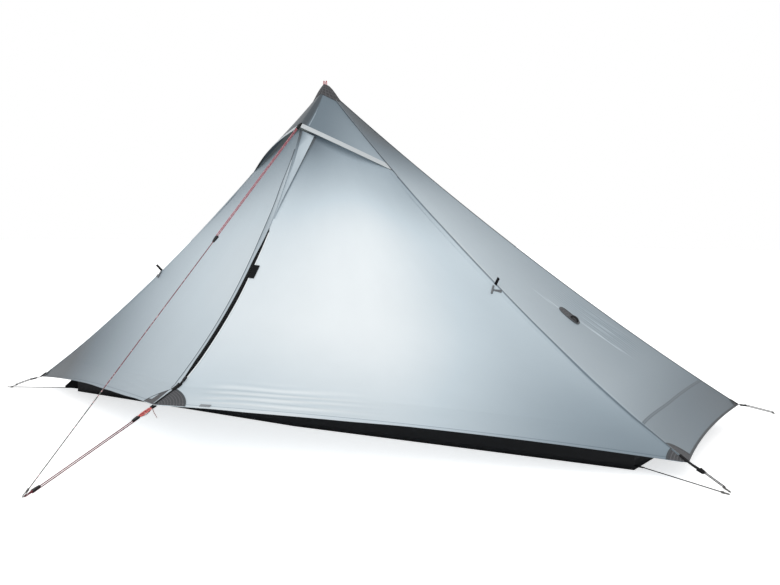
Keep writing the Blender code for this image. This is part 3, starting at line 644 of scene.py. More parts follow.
def hem_fold_highlights(across, share):
    """Painted highlights of soft level folds above the hem, near the zip."""
    near = window(0.05, 0.12, 0.24, 0.46, across)
    near *= window(0.86, 0.90, 0.965, 0.985, share)
    bend = noise.noise(Vector((across * 7, share * 22, 5)))
    return near * (4 + 11 * math.sin(share * 240 + across * 9 + 2.4 * bend))


# Painted light and shade: a painted glow high up near the zip, and painted shade towards the left
# corner and the hem.
def left_shade(across, share):
    value = 214 - 50 * bell(share, 0.17)
    value -= 18 * (share / 0.9) ** 4
    value -= 97 * (share / 0.9) ** 1.25 * across ** 2.2
    value -= 3 + 24 * bell(share, 0.26)
    value -= 58 * (share / 0.9) ** 2.4 * across ** 1.5 + 6 * smoothstep(0.5, 0.8, share)
    return grey(value) / 0.90


def front_ripple(side):
    """Fine level creases above the hem near the zip, and soft waves elsewhere."""
    def lift(across, share, point):
        edge = off_edges(across, 0.05)
        edge *= smoothstep(0, 0.02, 1 - share) * smoothstep(0, 0.05, share)
        broad = general_ripple(point, 0.0022, 0.30, 3 + side) * edge
        near = window(0.04, 0.12, 0.26, 0.48, across)
        near *= window(0.86, 0.92, 0.965, 0.99, share)
        crease = math.sin(share * 270 + 5 * noise.noise(point * Vector((3, 3, 12))))
        return broad + 0.0009 * near * crease * (1 if side > 0 else 0.6)
    return lift


front_shades = {1: right_shade, -1: left_shade}
for side, word in sides:
    front = front_faces[side]
    shade = front_shades[side]

    def head(across, share):
        tuck = 0.007 * smoothstep(0.06, 0.16, across) * (1 - share)
        return front(across, door_top_share * share - tuck)

    door = laid_cloth(f"fly_front_{word}", between(front, door_top_share, 1), 130, 190,
                      (front_width, front_length), fly_cloth, between(shade, door_top_share, 1),
                      front_ripple(side), squeeze=1.5, inside=fly_inside, body=side,
                      nodes=(f"front_panel_{word}", f"door_{word}"))
    top = laid_cloth(f"fly_head_{word}", head, 130, 8, (0.36, 0.06), fly_cloth,
                     between(shade, 0, door_top_share), inside=fly_inside)


# End panels: one cloth at each end between the front and the back ridge, with a cross seam low down
# and a skirt below it. A few long creases run down beside the back ridge, with painted highlights
# along them.
end_width, end_length = 0.915, 1.60


def seam_row(across):
    """The cross seam's place down the end panel: a little lower from the middle to the back."""
    return seam_share + 0.0085 * smoothstep(0.0, 0.5, across)


def ridge_wander(at):
    """How far the sewn ridge seam strays from the fold: to the end panel first, then back."""
    out = 0.0058 * window(0.30, 0.42, 0.50, 0.68, at)
    return out - 0.0070 * window(0.66, 0.80, 0.88, 0.95, at)


streak_highlights = ((0.475, 0.592, 0.022, 18), (0.515, 0.625, 0.028, 26), (0.60, 0.70, 0.060, 24),
           (0.625, 0.74, 0.045, 20), (0.70, 0.70, 0.050, 14), (0.765, 0.70, 0.055, 20),
           (0.84, 0.69, 0.045, 14), (0.895, 0.70, 0.045, 10))


def end_streak_highlights(across, share):
    """Painted highlights of long fine creases, below and beside the guy point."""
    value = 0
    for place, middle, half, bright in streak_highlights:
        line = place + 0.45 * (share - middle)
        fade = math.exp(-((share - middle) / half) ** 4)
        value += 1.7 * bright * bell(across - line, 0.0055) * fade
    return value


# Painted light and shade: painted shade towards the peak and the hem, a painted highlight beside the
# ridge seam and the painted streak highlights; the skirt is a little darker.
def end_shade(across, share, below=False):
    value = 200 - 95 * math.exp(-(share / 0.21) ** 3.2) - 24 * across
    value -= 80 * max(share - 0.45, 0)
    value -= 7 + 12 * across + 22 * bell(share - 0.13, 0.13)
    value -= 22 * smoothstep(0.80, 0.95, share)
    beside_seam = ridge_wander(share) + 0.0125 - 0.9 * share * across
    value += 12 * bell(beside_seam, 0.0055) * smoothstep(0.34, 0.44, share)
    value += end_streak_highlights(across, share) - (12 if below else 0)
    return grey(value) / 0.80


def end_ripple(side):
    def lift(across, share, point):
        edge = off_edges(across, 0.06)
        edge *= smoothstep(0.1, 0.3, share) * smoothstep(0, 0.03, 1 - share)
        broad = general_ripple(point, 0.0020, 0.26, 9 + side)
        streak = window(0.56, 0.66, 0.84, 0.95, across)
        streak *= window(0.60, 0.70, 0.80, 0.90, share)
        crease = math.sin(across * 190 + 4 * noise.noise(point * Vector((6, 6, 2))))
        return edge * (broad + 0.0010 * streak * crease)
    return lift


def above_seam(across, share):
    return across, cap_share + (seam_row(across) - cap_share) * share


def below_seam(across, share):
    return across, seam_row(across) + (1 - seam_row(across)) * share


for side, word in sides:
    end = end_faces[side]
    panel = laid_cloth(f"fly_end_{word}", lambda a, s: end(*above_seam(a, s)), 170, 150,
                       (end_width, end_length), fly_cloth, lambda a, s: end_shade(*above_seam(a, s)),
                       end_ripple(side), inside=fly_inside, nodes=(f"end_panel_{word}",))
    skirt = laid_cloth(f"fly_skirt_{word}", lambda a, s: end(*below_seam(a, s)), 90, 14,
                       (end_width, 0.17), fly_cloth, lambda a, s: end_shade(*below_seam(a, s), True),
                       inside=fly_inside, nodes=(f"end_skirt_{word}",))


# Back panel: the widest cloth of the fly, sewn to both end panels along the back ridges. Its
# hem is cut a little hollow, so that it clears the ground in the middle.
# Painted light and shade: a painted glow across the middle, and painted shade towards the peak and
# towards the hem.
def back_shade(across, share):
    middle = 1 - abs(across - 0.5) * 2
    value = 176 + 22 * smoothstep(0, 0.8, middle) - 70 * bell(share, 0.18)
    value -= 26 * smoothstep(0.6, 1, share)
    return grey(value) / 0.85


def back_ripple(across, share, point):
    edge = off_edges(across, 0.04)
    edge *= smoothstep(0.05, 0.2, share) * smoothstep(0, 0.04, 1 - share)
    return edge * general_ripple(point, 0.0032, 0.34, 20)


back = laid_cloth("fly_back", between(back_surface, cap_share, 1), 170, 110, (2.593, 1.25),
                  fly_cloth, between(back_shade, cap_share, 1), back_ripple, inside=fly_inside,
                  nodes=("back_panel",))


# Hood: a creased beak of the fly's own cloth over the vent, with a light woven binding folded over its
# edge, and black netting behind it. Its colour is painted darker, a painted shade because nothing
# lights it from below, with the left face painted darker than the right.
hood_start = cap_share / hood_end_share
binding_share = 1 - hood_band_width / (hood_tip - peak).length
binding_cloth = cloth_material("binding", (0.57, 0.61, 0.63), 420, 0.0002, 0.04, 0.7, sheen=0.2)


# Painted shade: the left face much darker than the right, and the right face painted lighter towards
# the tip and its ridge.
def hood_shade(across, share):
    fold = 0.575 - 0.035 * share
    right = smoothstep(fold - 0.022, fold + 0.012, across)
    low = 52 + 6 * share
    high = 108 + 50 * share * smoothstep(0.55, 0.95, across)
    return grey(low + (high - low) * right) / 0.85


# A painted highlight: a thin light strip laid along the hood's crease.
def hood_crease_highlight(across, share):
    at = 0.45 + 0.45 * share
    return hood_surface(0.580 - 0.035 * at + 0.008 * (across - 0.5), at)


# Daylight comes through the hood's single cloth, so its inner side is given a stronger painted glow,
# and is no darker than outside.
hood_inside = fly_inside.copy()
hood_inside.name = "hood_inside"
set_inputs(shader(hood_inside), {"Emission Strength": 0.60})

hood = laid_cloth("hood", between(hood_surface, hood_start, binding_share), 80, 40, (0.80, 0.22),
                  fly_cloth, hood_shade, lambda a, s, p: general_ripple(p, 0.0014, 0.09, 31)
                  * smoothstep(0, 0.2, s) * smoothstep(0, 0.1, 1 - s), inside=hood_inside,
                  slot="hood_fabric", nodes=("vent_hood",))
binding = laid_cloth("hood_binding", between(hood_surface, binding_share, 1), 120, 8,
                     (0.80, 0.018), binding_cloth,
                     ripple=lambda a, s, p: 0.0006 * math.sin(math.pi * min(s * 1.2, 1)),
                     thickness=0.0012, slot="tape_grey", nodes=("hood_band",))
laid_cloth("hood_crease_highlight", hood_crease_highlight, 2, 20, (0.004, 0.08), fly_cloth,
           lambda a, s: grey(146) / 0.85, lambda a, s, p: 0.0008 * math.sin(math.pi * a),
           slot="hood_fabric")


# Vent: fine netting behind the hood, sewn to its edge. Small sewn pieces like it start as
# merged copies of their solids, cut finer and made a little uneven.
def sewn_copy(name, node, finish, body="tent", cuts=0, ripple=0.0, spacing=0.1,
              bevel=0.0):
    """A soft piece in the place of its solid."""
    mesh = bmesh.new()
    mesh.from_mesh(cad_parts[node].data)
    bmesh.ops.remove_doubles(mesh, verts=mesh.verts, dist=1e-5)
    bmesh.ops.dissolve_limit(mesh, angle_limit=math.radians(1), verts=mesh.verts,
                             edges=mesh.edges)
    if bevel:
        sharp = [e for e in mesh.edges if e.calc_face_angle(0) > math.radians(50)]
        bmesh.ops.bevel(mesh, geom=sharp, offset=bevel, segments=2, profile=0.5,
                        affect="EDGES", material=-1)
    bmesh.ops.triangulate(mesh, faces=[f for f in mesh.faces if len(f.verts) > 4])
    if cuts:
        bmesh.ops.subdivide_edges(mesh, edges=mesh.edges, cuts=cuts, use_grid_fill=True)
    for vert in mesh.verts:
        vert.co += Vector((0.6, 1, 0.2)) * (ripple * noise.noise(vert.co / spacing))
    made = mesh_object(name, mesh, finish)
    made.data.shade_smooth()
    made.data.set_sharp_from_angle(angle=math.radians(40))
    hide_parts(node)
    attach(made, body)
    return made


def object_weave(*given):
    """A woven finish for pieces without a chart of their own, laid by their place."""
    made = cloth_material(*given)
    place = add_node(made.node_tree, "TexCoord", {})
    set_inputs(look_of(made), {"Vector": place.outputs["Object"]})
    return made


netting = object_weave("netting", (0.015, 0.015, 0.016), 260, 0.0003, 0.3, 0.8)
set_inputs(shader(netting), {"Alpha": 0.55})
# The vent's netting is a lighter grey with a painted glow, so that the vent behind the hood does not
# go dark.
fine_netting = object_weave("fine_netting", (0.105, 0.118, 0.116), 420, 0.0002, 0.3, 0.8)
set_inputs(shader(fine_netting), {"Alpha": 0.90, "Emission Color": (0.098, 0.116, 0.120, 1),
                                  "Emission Strength": 0.62})
vent_net = sewn_copy("vent_netting", "vent_mesh", fine_netting, cuts=3,
                     ripple=0.0008)


def hood_turn_shadow(across, share):
    """A dark strip of painted shadow on the binding's inner fold, low on the left, where no light
    comes through.
    """
    spot = hood_surface(0.035 + 0.27 * share, 0.950 + 0.052 * across)
    return spot + Vector((0.37, 0.93, -0.05)) * 0.0022


laid_cloth("hood_turn_shadow", hood_turn_shadow, 3, 40, (0.01, 0.12),
           object_weave("hood_turn_shadow", (0.030, 0.034, 0.036), 420, 0.0002, 0.1, 0.8),
           thickness=0.0010, slot="tape_grey")


# Apex cap: a dark doubled patch sewn over the peak, where the pole's tip stands, with two short
# loops of red cord sewn into its top.
patch_cloth = cloth_material("patch_cloth", (0.045, 0.046, 0.051), 700, 0.0001, 0.15, 0.75,
                             grid=(0.009, (0.12, 0.122, 0.13)))
cap_cloth = cloth_material("cap_cloth", (0.040, 0.040, 0.043), 700, 0.0001, 0.15, 0.75,
                           grid=(0.009, (0.085, 0.085, 0.09)))
cap_lift = 0.0010


def cap_surface(across, share):
    """Once round the peak over the five panels, from the tip down to the cap's edge."""
    reach = cap_share * (0.02 + 1.04 * share)
    turn = (across % 1.0) * 4
    if turn < 1:
        point = end_surface(1, turn, reach)
    elif turn < 2:
        point = back_surface(turn - 1, reach)
    elif turn < 3:
        point = end_surface(-1, 1 - (turn - 2), reach)
    else:
        point = hood_surface(turn - 3, reach / hood_end_share)
    away = point - Vector((0, 0, point.z))
    lift = away.normalized() * cap_lift if away.length > 1e-6 else Vector((0, 0, 0))
    crown = 0.0085 * (1 - share) + 0.012 * math.sin(math.pi * share ** 0.75) * (1 - share) ** 0.3
    return point + lift + upward * crown


laid_cloth("cap", cap_surface, 64, 14, (0.25, 0.055), cap_cloth, thickness=0.0008,
           slot="patch_dark", nodes=("apex_cap",))
loop_cord = cord_material("loop_cord", (0.42, 0.025, 0.045), (0.60, 0.20, 0.22), 0.15)
for side, word in reversed(sides):
    arch = []
    for i in range(17):
        angle = math.pi * i / 16
        arch.append(Vector((side * 0.0042 + 0.0026 * math.cos(angle), 0.001 * side,
                            peak_height + 0.0066 + 0.0155 * math.sin(angle) ** 0.7)))
    loop = cord_curve(f"apex_loop_{word}", arch, 0.0013, loop_cord)
    attach(loop)
    if side < 0:
        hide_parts("apex_loops")


# Seams: each ridge is a narrow folded seam that stands up as a dark line, partly the seam and partly
# painted shade, with a lighter binding on its front side that takes the panel's painted light. Hems
# are folded tapes, light at the front, where they take the panel's painted glow, and dark at the ends
# and the back, where their dark colour is painted shade.
seam_thread = cloth_material("seam", (0.055, 0.065, 0.072), 600, 0.0002, 0.1, 0.6)
# The dark tape's colour is painted shade of the hems' underside.
dark_tape = cloth_material("dark_tape", (0.075, 0.085, 0.092), 500, 0.0002, 0.1, 0.7)


def strip_along(name, surface, finish, columns, rows, size, shade=None, thickness=0.0005,
                round_height=0.0, **kept):
    """A tape or seam laid on the cloth; round_height swells its middle."""
    laid_cloth(name, surface, columns, rows, size, finish, shade,
               lambda a, s, p: round_height * math.sin(math.pi * a), thickness, **kept)


def beside(surface, edge_across, sign, low, high, lift, across, share):
    """A point on a panel at a real distance from one of its side edges."""
    width = (surface(1, share) - surface(0, share)).length
    at = edge_across + sign * (low + (high - low) * across) / max(width, 1e-6)
    return surface(at, share) + outward(surface, min(max(at, 0.02), 0.98), share) * lift


# The ridge seam's painted shade: darker along its middle, towards the hem and near the hood.
def ridge_tone(across, share):
    middle = 1 - abs(across - 0.5) * 2
    value = 150 - 42 * smoothstep(0.1, 0.6, middle) - 20 * smoothstep(0.68, 1, share)
    value -= 30 * (1 - smoothstep(0.18, 0.30, share))
    return grey(value) / 0.85


def way_down(ridge, side, at):
    return (ridge(side, at + 0.01) - ridge(side, at - 0.01)).normalized()


seam_span = (cap_share * 0.9, 0.985)
ridge_seam_width, narrow_seam_width = 0.0128, 0.0060
for side, word in sides:
    front, end = front_faces[side], end_faces[side]

    def ridge_seam(across, at):
        distance = ridge_wander(at) + (across - 0.5) * ridge_seam_width
        if distance >= 0:
            return beside(end, 0, 1, distance, distance, 0.0008, 0, at)
        top = hood_end_share + hood_band_width / 2
        if at > top + 0.01:
            return beside(front, 1, -1, -distance, -distance, 0.0008, 0, (at - top) / (1 - top))
        out = outward(end, 0.03, at)
        aside = way_down(front_ridge, side, at).cross(out) * distance * side
        return front_ridge(side, at) + aside + out * 0.0008

    def back_seam(across, at):
        out = outward(end, 0.97, at)
        aside = way_down(back_ridge, side, at).cross(out) * ((across - 0.5) * narrow_seam_width) * side
        return back_ridge(side, at) + aside + out * 0.0004

    def ridge_tape(across, share):
        return beside(front, 1, -1, 0.002, 0.024 - 0.010 * share, 0.0006, across,
                      0.004 + 0.93 * share)

    def cross_seam(across, share):
        at = seam_row(0.01 + 0.98 * share) + (across - 0.5) * narrow_seam_width
        return end(0.01 + 0.98 * share, at) + outward(end, 0.5, at) * 0.0004

    def end_hem(across, share):
        spot = end(0.012 + 0.976 * share, 1.0005 - 0.0050 * across)
        return spot + outward(end, 0.5, 0.99) * 0.0006

    strip_along(f"ridge_seam_{word}", between(ridge_seam, *seam_span), fly_cloth, 8, 120,
                (0.0112, 1.8), ridge_tone, round_height=0.0006)
    strip_along(f"back_seam_{word}", between(back_seam, *seam_span), seam_thread, 4, 90,
                (narrow_seam_width, 1.9), round_height=0.0010)
    strip_along(f"ridge_tape_{word}", ridge_tape, fly_cloth, 3, 90, (0.02, 1.3),
                lambda a, s: front_shades[side](0.97, 0.004 + 0.93 * s) * 0.96)
    strip_along(f"cross_seam_{word}", cross_seam, fly_cloth, 4, 70, (0.010, 0.83),
                lambda a, s: grey(106 - 20 * abs(a - 0.5) * 2 - 14 * s) / 0.85,
                round_height=0.0004)
    strip_along(f"end_hem_{word}", end_hem, dark_tape, 3, 70, (0.009, 0.915),
                thickness=0.0016, slot="tape_grey")


def back_hem(across, share):
    at = 1.0005 - 0.0065 * across
    return back_surface(0.006 + 0.988 * share, at) + outward(back_surface, 0.5, 0.99) * 0.0006


strip_along("back_hem", back_hem, dark_tape, 3, 140, (0.009, 2.59), thickness=0.0016,
            slot="tape_grey")

for side, word in sides:
    front = front_faces[side]

    def front_hem(across, share):
        over = 0.004 + 0.985 * share
        slack = 0.0042 * window(0.10, 0.20, 0.36, 0.50, over)
        at = 1.0012 + slack - (0.0105 + slack) * across
        return front(over, at) + outward(front, over, 0.99) * 0.0006

    def hem_stitch(across, share):
        over = 0.004 + 0.985 * share
        return front(over, 0.9902 + 0.0018 * across) + outward(front, over, 0.98) * 0.0010

    # The hem and its stitch line take the panel's painted light and shade at its foot.
    def hem_tone(share):
        return front_shades[side](0.02 + 0.97 * share, 0.97)

    strip_along(f"front_hem_{word}", front_hem, fly_cloth, 3, 120, (0.012, 1.53),
                lambda a, s: hem_tone(s) * 0.97, thickness=0.0015, body=side)
    strip_along(f"front_hem_stitch_{word}", hem_stitch, fly_cloth, 2, 120, (0.002, 1.53),
                lambda a, s: hem_tone(s) * 0.62, thickness=0.0004, body=side)


def hem_tag(across, share):
    front = front_faces[1]
    spot = front(0.087 + 0.021 * across, 0.9855 + 0.0098 * share)
    return spot + outward(front, 0.1, 0.98) * 0.0024


# A small bare grey tag is sewn to the right door's hem.
tag_cloth = cloth_material("tag_cloth", (0.28, 0.30, 0.32), 420, 0.0002, 0.08, 0.7)
strip_along("hem_tag", hem_tag, tag_cloth, 6, 4, (0.036, 0.010), thickness=0.0008, body=1,
            slot="tape_grey")


# Zip: a black coil zip down the middle, sewn to both doors. A light storm flap is sewn along
# the left door. It lies over the zip at the top, crosses back over it as it narrows, and is
# rolled back below, where the black zip shows. A small black tab holds it.
zip_black = cloth_material("zip_tape", (0.006, 0.0065, 0.007), 520, 0.0003, 0.2, 0.7)
zip_gap = 0.0003
coil_width = 0.0024

# Each span is the stretch of the zip line, as shares from its head, that a piece runs beside.
zip_span = (zip_foot_share * 0.03, zip_foot_share)
piping_span = (0.352, 0.880)
roll_span = (0.104, 0.996)
flap_span = (0.003, 0.331)
flap_shadow_length = 0.300
stitches_start, stitches_length = 0.066, 0.850


def on_door(side, distance, share, height):
    """A point on a door at a real distance from the zip's middle line."""
    face = front_faces[side]
    width = (face(1, share) - face(0, share)).length
    across = distance / width
    return face(across, share) + outward(face, max(across, 0.01), share) * height


def roll_inner(at):
    """How far the rolled flap's inner edge lies from the zip, on the left door."""
    opened = 0.014 * smoothstep(0.35, 0.46, at) * (1 - 0.75 * smoothstep(0.80, 0.89, at))
    return 0.0002 + opened - 0.0024 * roll_overlap(at)


def roll_outer(at):
    wide = 0.025 * smoothstep(0.05, 0.205, at) + 0.0115 * smoothstep(0.20, 0.38, at)
    return wide - 0.002 * smoothstep(0.45, 0.66, at) - 0.022 * smoothstep(0.88, 1.0, at)


def roll_overlap(at):
    """Where the rolled flap still reaches over the zip, on its way back across it."""
    return window(0.060, 0.085, 0.325, 0.355, at)


def flap_start(at):
    """How far right of the zip the flap's own seam lies, above where it crosses."""
    return 0.0115 * (1 - smoothstep(0.010, 0.075, at))


def zip_depth(at):
    """The zip lies behind the doors' faces where the flap covers it."""
    return -0.0012 + 0.0020 * smoothstep(0.335, 0.350, at)


def tape_width(at):
    """The black tape shows broader on the right door over the middle of the zip."""
    return 0.0040 + 0.0030 * window(0.45, 0.6, 0.8, 0.88, at)


def flap_reach(at):
    return 0.058 * max(1 - at / 0.335, 0) ** 1.40


for side, word in sides:
    def tape(across, at):
        wide = tape_width(at) if side > 0 else max(roll_inner(at) + 0.003, 0.007)
        return on_door(side, zip_gap + across * wide, at, zip_depth(at))

    def coil(across, at):
        return on_door(side, zip_gap + across * coil_width, at, zip_depth(at) + 0.0004)

    def stop(across, share):
        wide = 0.0065 if side > 0 else 0.0145
        return on_door(side, 0.0002 + across * wide, 0.892 + 0.032 * share, 0.0032)

    strip_along(f"zip_side_{word}", between(tape, *zip_span), zip_black, 2, 160, (0.011, 1.0),
                body=side, slot="zip_black", nodes=(f"zip_tape_{word}",))
    strip_along(f"zip_coil_{word}", between(coil, *zip_span), zip_black, 4, 160,
                (coil_width, 1.0), round_height=0.0008, body=side, slot="zip_black")
    strip_along(f"zip_stop_{word}", stop, zip_black, 4, 6, (0.014, 0.036), thickness=0.0016,
                body=side, slot="zip_black")


def right_piping(across, at):
    return on_door(1, tape_width(at) - 0.0002 + 0.0045 * across, at, 0.0008)


def foot_edge(across, share):
    return on_door(1, 0.0003 + 0.0040 * across, 0.922 + 0.074 * share, 0.0026)


def flap_roll(across, at):
    inner, outer = roll_inner(at), roll_outer(at)
    spread = inner + (outer - inner) * across
    rise = 0.0010 + 0.0006 * smoothstep(0.30, 0.40, at)
    return on_door(-1, spread, at, 0.0008 + rise * (1 - across))


# Painted shade: darker towards the seam where the roll turns down, and a little darker about a third
# of the way down.
def roll_shade(across, at):
    value = 188 + 4 * smoothstep(0.14, 0.30, at) + 6 * smoothstep(0.75, 0.95, at)
    value -= 10 * window(0.24, 0.32, 0.36, 0.46, at)
    value -= 24 * smoothstep(0.45, 1.0, across)
    return grey(value) / 0.93


def roll_seam(across, share):
    at = stitches_start + stitches_length * share
    return on_door(-1, roll_outer(at) - 0.001 + 0.0130 * across, at, 0.0009)


def roll_seam_shade(across, share):
    """The row of stitches lies dark, partly the stitches and partly painted shade, beside a painted
    highlight on a small pucker of the door's cloth.
    """
    beyond = left_shade(0.02, stitches_start + stitches_length * share)
    pucker_highlight = 1.02 + 0.12 * smoothstep(0.1, 0.25, share) * (1 - smoothstep(0.9, 1.0, across))
    dark = grey(80 + 16 * smoothstep(0.1, 0.5, share)) / 0.90
    return dark + (beyond * pucker_highlight - dark) * smoothstep(0.36, 0.60, across)


def flap_left(at):
    """Near the head the flap stops short of the zip, where the slider parks."""
    return 0.0001 + 0.0104 * (1 - smoothstep(0.094, 0.215, at))


def flap_face(across, at):
    left = flap_left(at)
    distance = left + (flap_reach(at) - left) * across
    rise = 0.0006 + 0.0024 * smoothstep(0.0, 0.012, distance)
    return on_door(1, distance, at, rise + 0.0010 * math.sin(math.pi * across))


def flap_shade(across, at):
    """Painted shade where it comes out from under the roll, lighter towards its free edge."""
    left = flap_left(at)
    beyond = left + (flap_reach(at) - left) * across - flap_start(at)
    rise = min(max(beyond / max(0.034 - 0.38 * at, 0.005), 0), 1)
    value = 130 + 52 * rise + 14 * across
    value -= 26 * bell(beyond, 0.0022) * (1 - smoothstep(0.05, 0.08, at))
    value += (188 - 4 * across - value) * smoothstep(0.065, 0.105, at)
    return grey(value) / 0.96


# A strip of painted shadow under the flap's free edge.
def flap_edge_shadow(across, share):
    at = flap_span[0] + flap_shadow_length * share
    return on_door(1, flap_reach(at) - 0.0008 + 0.0092 * across, at, 0.0008)


def flap_shadow_tone(across, share):
    """The flap's painted shadow: dark under its edge, fading into the door's painted colour."""
    at = flap_span[0] + flap_shadow_length * share
    door_tone = right_shade(0.04, at) * 0.97 / 0.93
    dark = grey(30 + 128 * share ** 0.8) / 0.93
    return dark + (door_tone - dark) * smoothstep(0.25, 1.0, across)


def tab_face(across, share):
    return on_door(1, 0.0012 + 0.0222 * across, 0.465 + 0.045 * share, 0.0030)


strip_along("door_edge_right", between(right_piping, *piping_span), fly_cloth, 4, 150,
            (0.005, 0.8), lambda a, s: grey(246) / 0.96, round_height=0.0014, body=1)
laid_cloth("flap_roll", between(flap_roll, *roll_span), 10, 190, (0.04, 1.13), fly_cloth,
           between(roll_shade, *roll_span), body=-1)
strip_along("flap_seam", roll_seam, fly_cloth, 9, 160, (0.013, 1.12), roll_seam_shade,
            round_height=0.0003, body=-1)
strip_along("zip_foot_edge", foot_edge, zip_black, 2, 12, (0.004, 0.1), body=1,
            slot="zip_black")
laid_cloth("flap", between(flap_face, *flap_span), 30, 80, (0.05, 0.34), fly_cloth,
           between(flap_shade, *flap_span), slot="tape_grey", body=1, nodes=("storm_flap",))
strip_along("flap_edge_shadow", flap_edge_shadow, fly_cloth, 6, 60, (0.009, 0.3), flap_shadow_tone, body=1)
laid_cloth("flap_hold", tab_face, 6, 8, (0.022, 0.045), zip_black, thickness=0.0016,
           slot="zip_black", body=1, nodes=("flap_tab",))


# Reinforcements: dark grid cloth in fans at every corner and at the porch foot, on both of
# the panels that meet there.
def fan(surface, corner, reach, lift, across, share):
    """A fan round a panel's lower corner: across turns from the hem to the other edge."""
    inwards = 1 - 2 * corner
    hem = (surface(corner + inwards * slope_step, 1) - surface(corner, 1)) / slope_step
    edge = (surface(corner, 1 - slope_step) - surface(corner, 1)) / slope_step
    turn = across * math.pi / 2
    way = hem.normalized() * math.cos(turn) + edge.normalized() * math.sin(turn)
    radius = reach * (0.02 + 0.98 * share) / way.length
    a = corner + inwards * radius * math.cos(turn) / hem.length
    s = 1 - radius * math.sin(turn) / edge.length
    return surface(a, s) + outward(surface, min(max(a, 0.01), 0.99), min(s, 0.99)) * lift


for side, word in sides:
    front, end = front_faces[side], end_faces[side]

    def back_face(across, share):
        return back_surface(across if side > 0 else 1 - across, share)

    spots = (("porch", front, 0, 0.094, f"door_{word}"), ("front", front, 1, 0.062, side),
             ("end_front", end, 0, 0.082, "tent"), ("end_back", end, 1, 0.038, "tent"),
             ("back", back_face, 0, 0.060, "tent"))
    for spot, face, corner, reach, body in spots:
        patch = partial(fan, face, corner, reach, 0.0010)
        laid_cloth(f"patch_{spot}_{word}", patch, 18, 14, (0.12, reach), patch_cloth,
                   thickness=0.0005, slot="patch_dark", body=body)
        rim = partial(fan, face, corner, reach, 0.0016)
        laid_cloth(f"patch_rim_{spot}_{word}",
                   between(rim, (reach - 0.0045) / reach, (reach + 0.0010) / reach), 18, 2,
                   (0.12, 0.005), seam_thread, thickness=0.0006, slot="patch_dark", body=body)


# Webbing: black nylon tape at the corners, the hood's tip, the porch foot and the floor's
# corners. Each corner strap ends in a small moulded lock that the line runs through.
webbing = object_weave("webbing", (0.008, 0.008, 0.009), 520, 0.0003, 0.2, 0.8)
grey_webbing = object_weave("grey_webbing", (0.13, 0.14, 0.15), 520, 0.0003, 0.2, 0.75)
moulded = plain_material("moulded_nylon", (0.010, 0.010, 0.011), 0.45)
for finish, shine in ((webbing, 0.12), (zip_black, 0.12), (moulded, 0.25)):
    set_inputs(shader(finish), {"Specular IOR Level": shine})
grain_place = add_node(moulded.node_tree, "TexCoord", {})
grain = add_node(moulded.node_tree, "TexNoise", {"Vector": grain_place.outputs["Object"],
                                                 "Scale": 1400})
grain_bump = add_node(moulded.node_tree, "Bump", {"Height": grain.outputs["Fac"],
                                                  "Strength": 0.2, "Distance": 0.0002})
set_inputs(shader(moulded), {"Normal": grain_bump.outputs["Normal"]})
sewn = [(f"strap_{corner}", f"corner_strap_{corner}", webbing, 0.0005)
        for corner in ("front_right", "front_left", "back_right", "back_left")]
sewn += [("tip_tab", "hood_tab", webbing, 0.0004), ("foot_hook", "porch_hook", webbing, 0.0005)]
for side, word in sides:
    sewn += [(f"floor_corner_tie_{word}", f"floor_tie_{word}", webbing, 0.0004),
             (f"door_tie_{word}", f"tie_tab_{word}", grey_webbing, 0.0003)]
for name, node, finish, bevel in sewn:
    sewn_copy(name, node, finish, bevel=bevel)


def floor_gusset(across, share):
    """The webbing at the groundsheet's left corner narrows to where its line is tied."""
    wall = Vector((-1.2006, -0.0965, 0.014 + 0.064 * across))
    tied = Vector((-1.2630, -0.1190, 0.0105 + 0.0090 * across))
    return wall.lerp(tied, share)


def tip_patch(across, share):
    """A short piece sewn over the light binding at the hood's tip, above its tab."""
    point = hood_surface(0.493 + 0.030 * (across - 0.5), 0.915 + 0.110 * share)
    return point + Vector((0, -0.7, 0.7)) * 0.0018


laid_cloth("floor_gusset_left", floor_gusset, 4, 8, (0.05, 0.066), webbing, thickness=0.0012,
           slot="webbing_black")
laid_cloth("tip_patch", tip_patch, 4, 10, (0.014, 0.028), webbing, thickness=0.0012,
           slot="webbing_black")

# A flat loop of the same webbing stands out of each front ridge, above the door's tie.
tab_at = 0.533
tab_width, tab_height = 0.0095, 0.031
for side, word in sides:
    ridge_way = way_down(front_ridge, side, tab_at)
    tab_out = outward(end_faces[side], 0.02, tab_at)
    tab_out += outward(front_faces[side], 0.98, (tab_at - 0.233) / 0.767)
    tab_out = (tab_out - ridge_way * tab_out.dot(ridge_way)).normalized()

    def ridge_loop(across, share):
        wide = ridge_way * (tab_width * (across - 0.5))
        angle = math.pi * share
        deep = ridge_way.cross(tab_out) * (0.0011 * math.cos(angle) * (1 - 0.3 * share))
        tall = tab_out * (tab_height * math.sin(angle) ** 0.5)
        return front_ridge(side, tab_at) + wide + tall + deep

    laid_cloth(f"ridge_loop_{word}", ridge_loop, 3, 24, (tab_width, 0.055), webbing,
               thickness=0.0008, slot="webbing_black")


# Guy points: an oval dark patch on each end panel, bound round its edge, with a webbing loop
# sewn across its middle.
guy_across, guy_share = 0.534, 0.651
guy_half_width, guy_half_height = 0.029, 0.0425
pull_width = 0.020


def spot_on(surface, across, share, sideways, down_by):
    """A point of a panel at real distances beside and below a spot on it."""
    along = surface(across + slope_step, share) - surface(across - slope_step, share)
    along /= 2 * slope_step
    fall = surface(across, share + slope_step) - surface(across, share - slope_step)
    fall /= 2 * slope_step
    down_way = fall.normalized()
    lean = along.dot(down_way)
    breadth = (along - down_way * lean).length
    sideways /= breadth
    return across + sideways, share + (down_by - sideways * lean) / fall.length


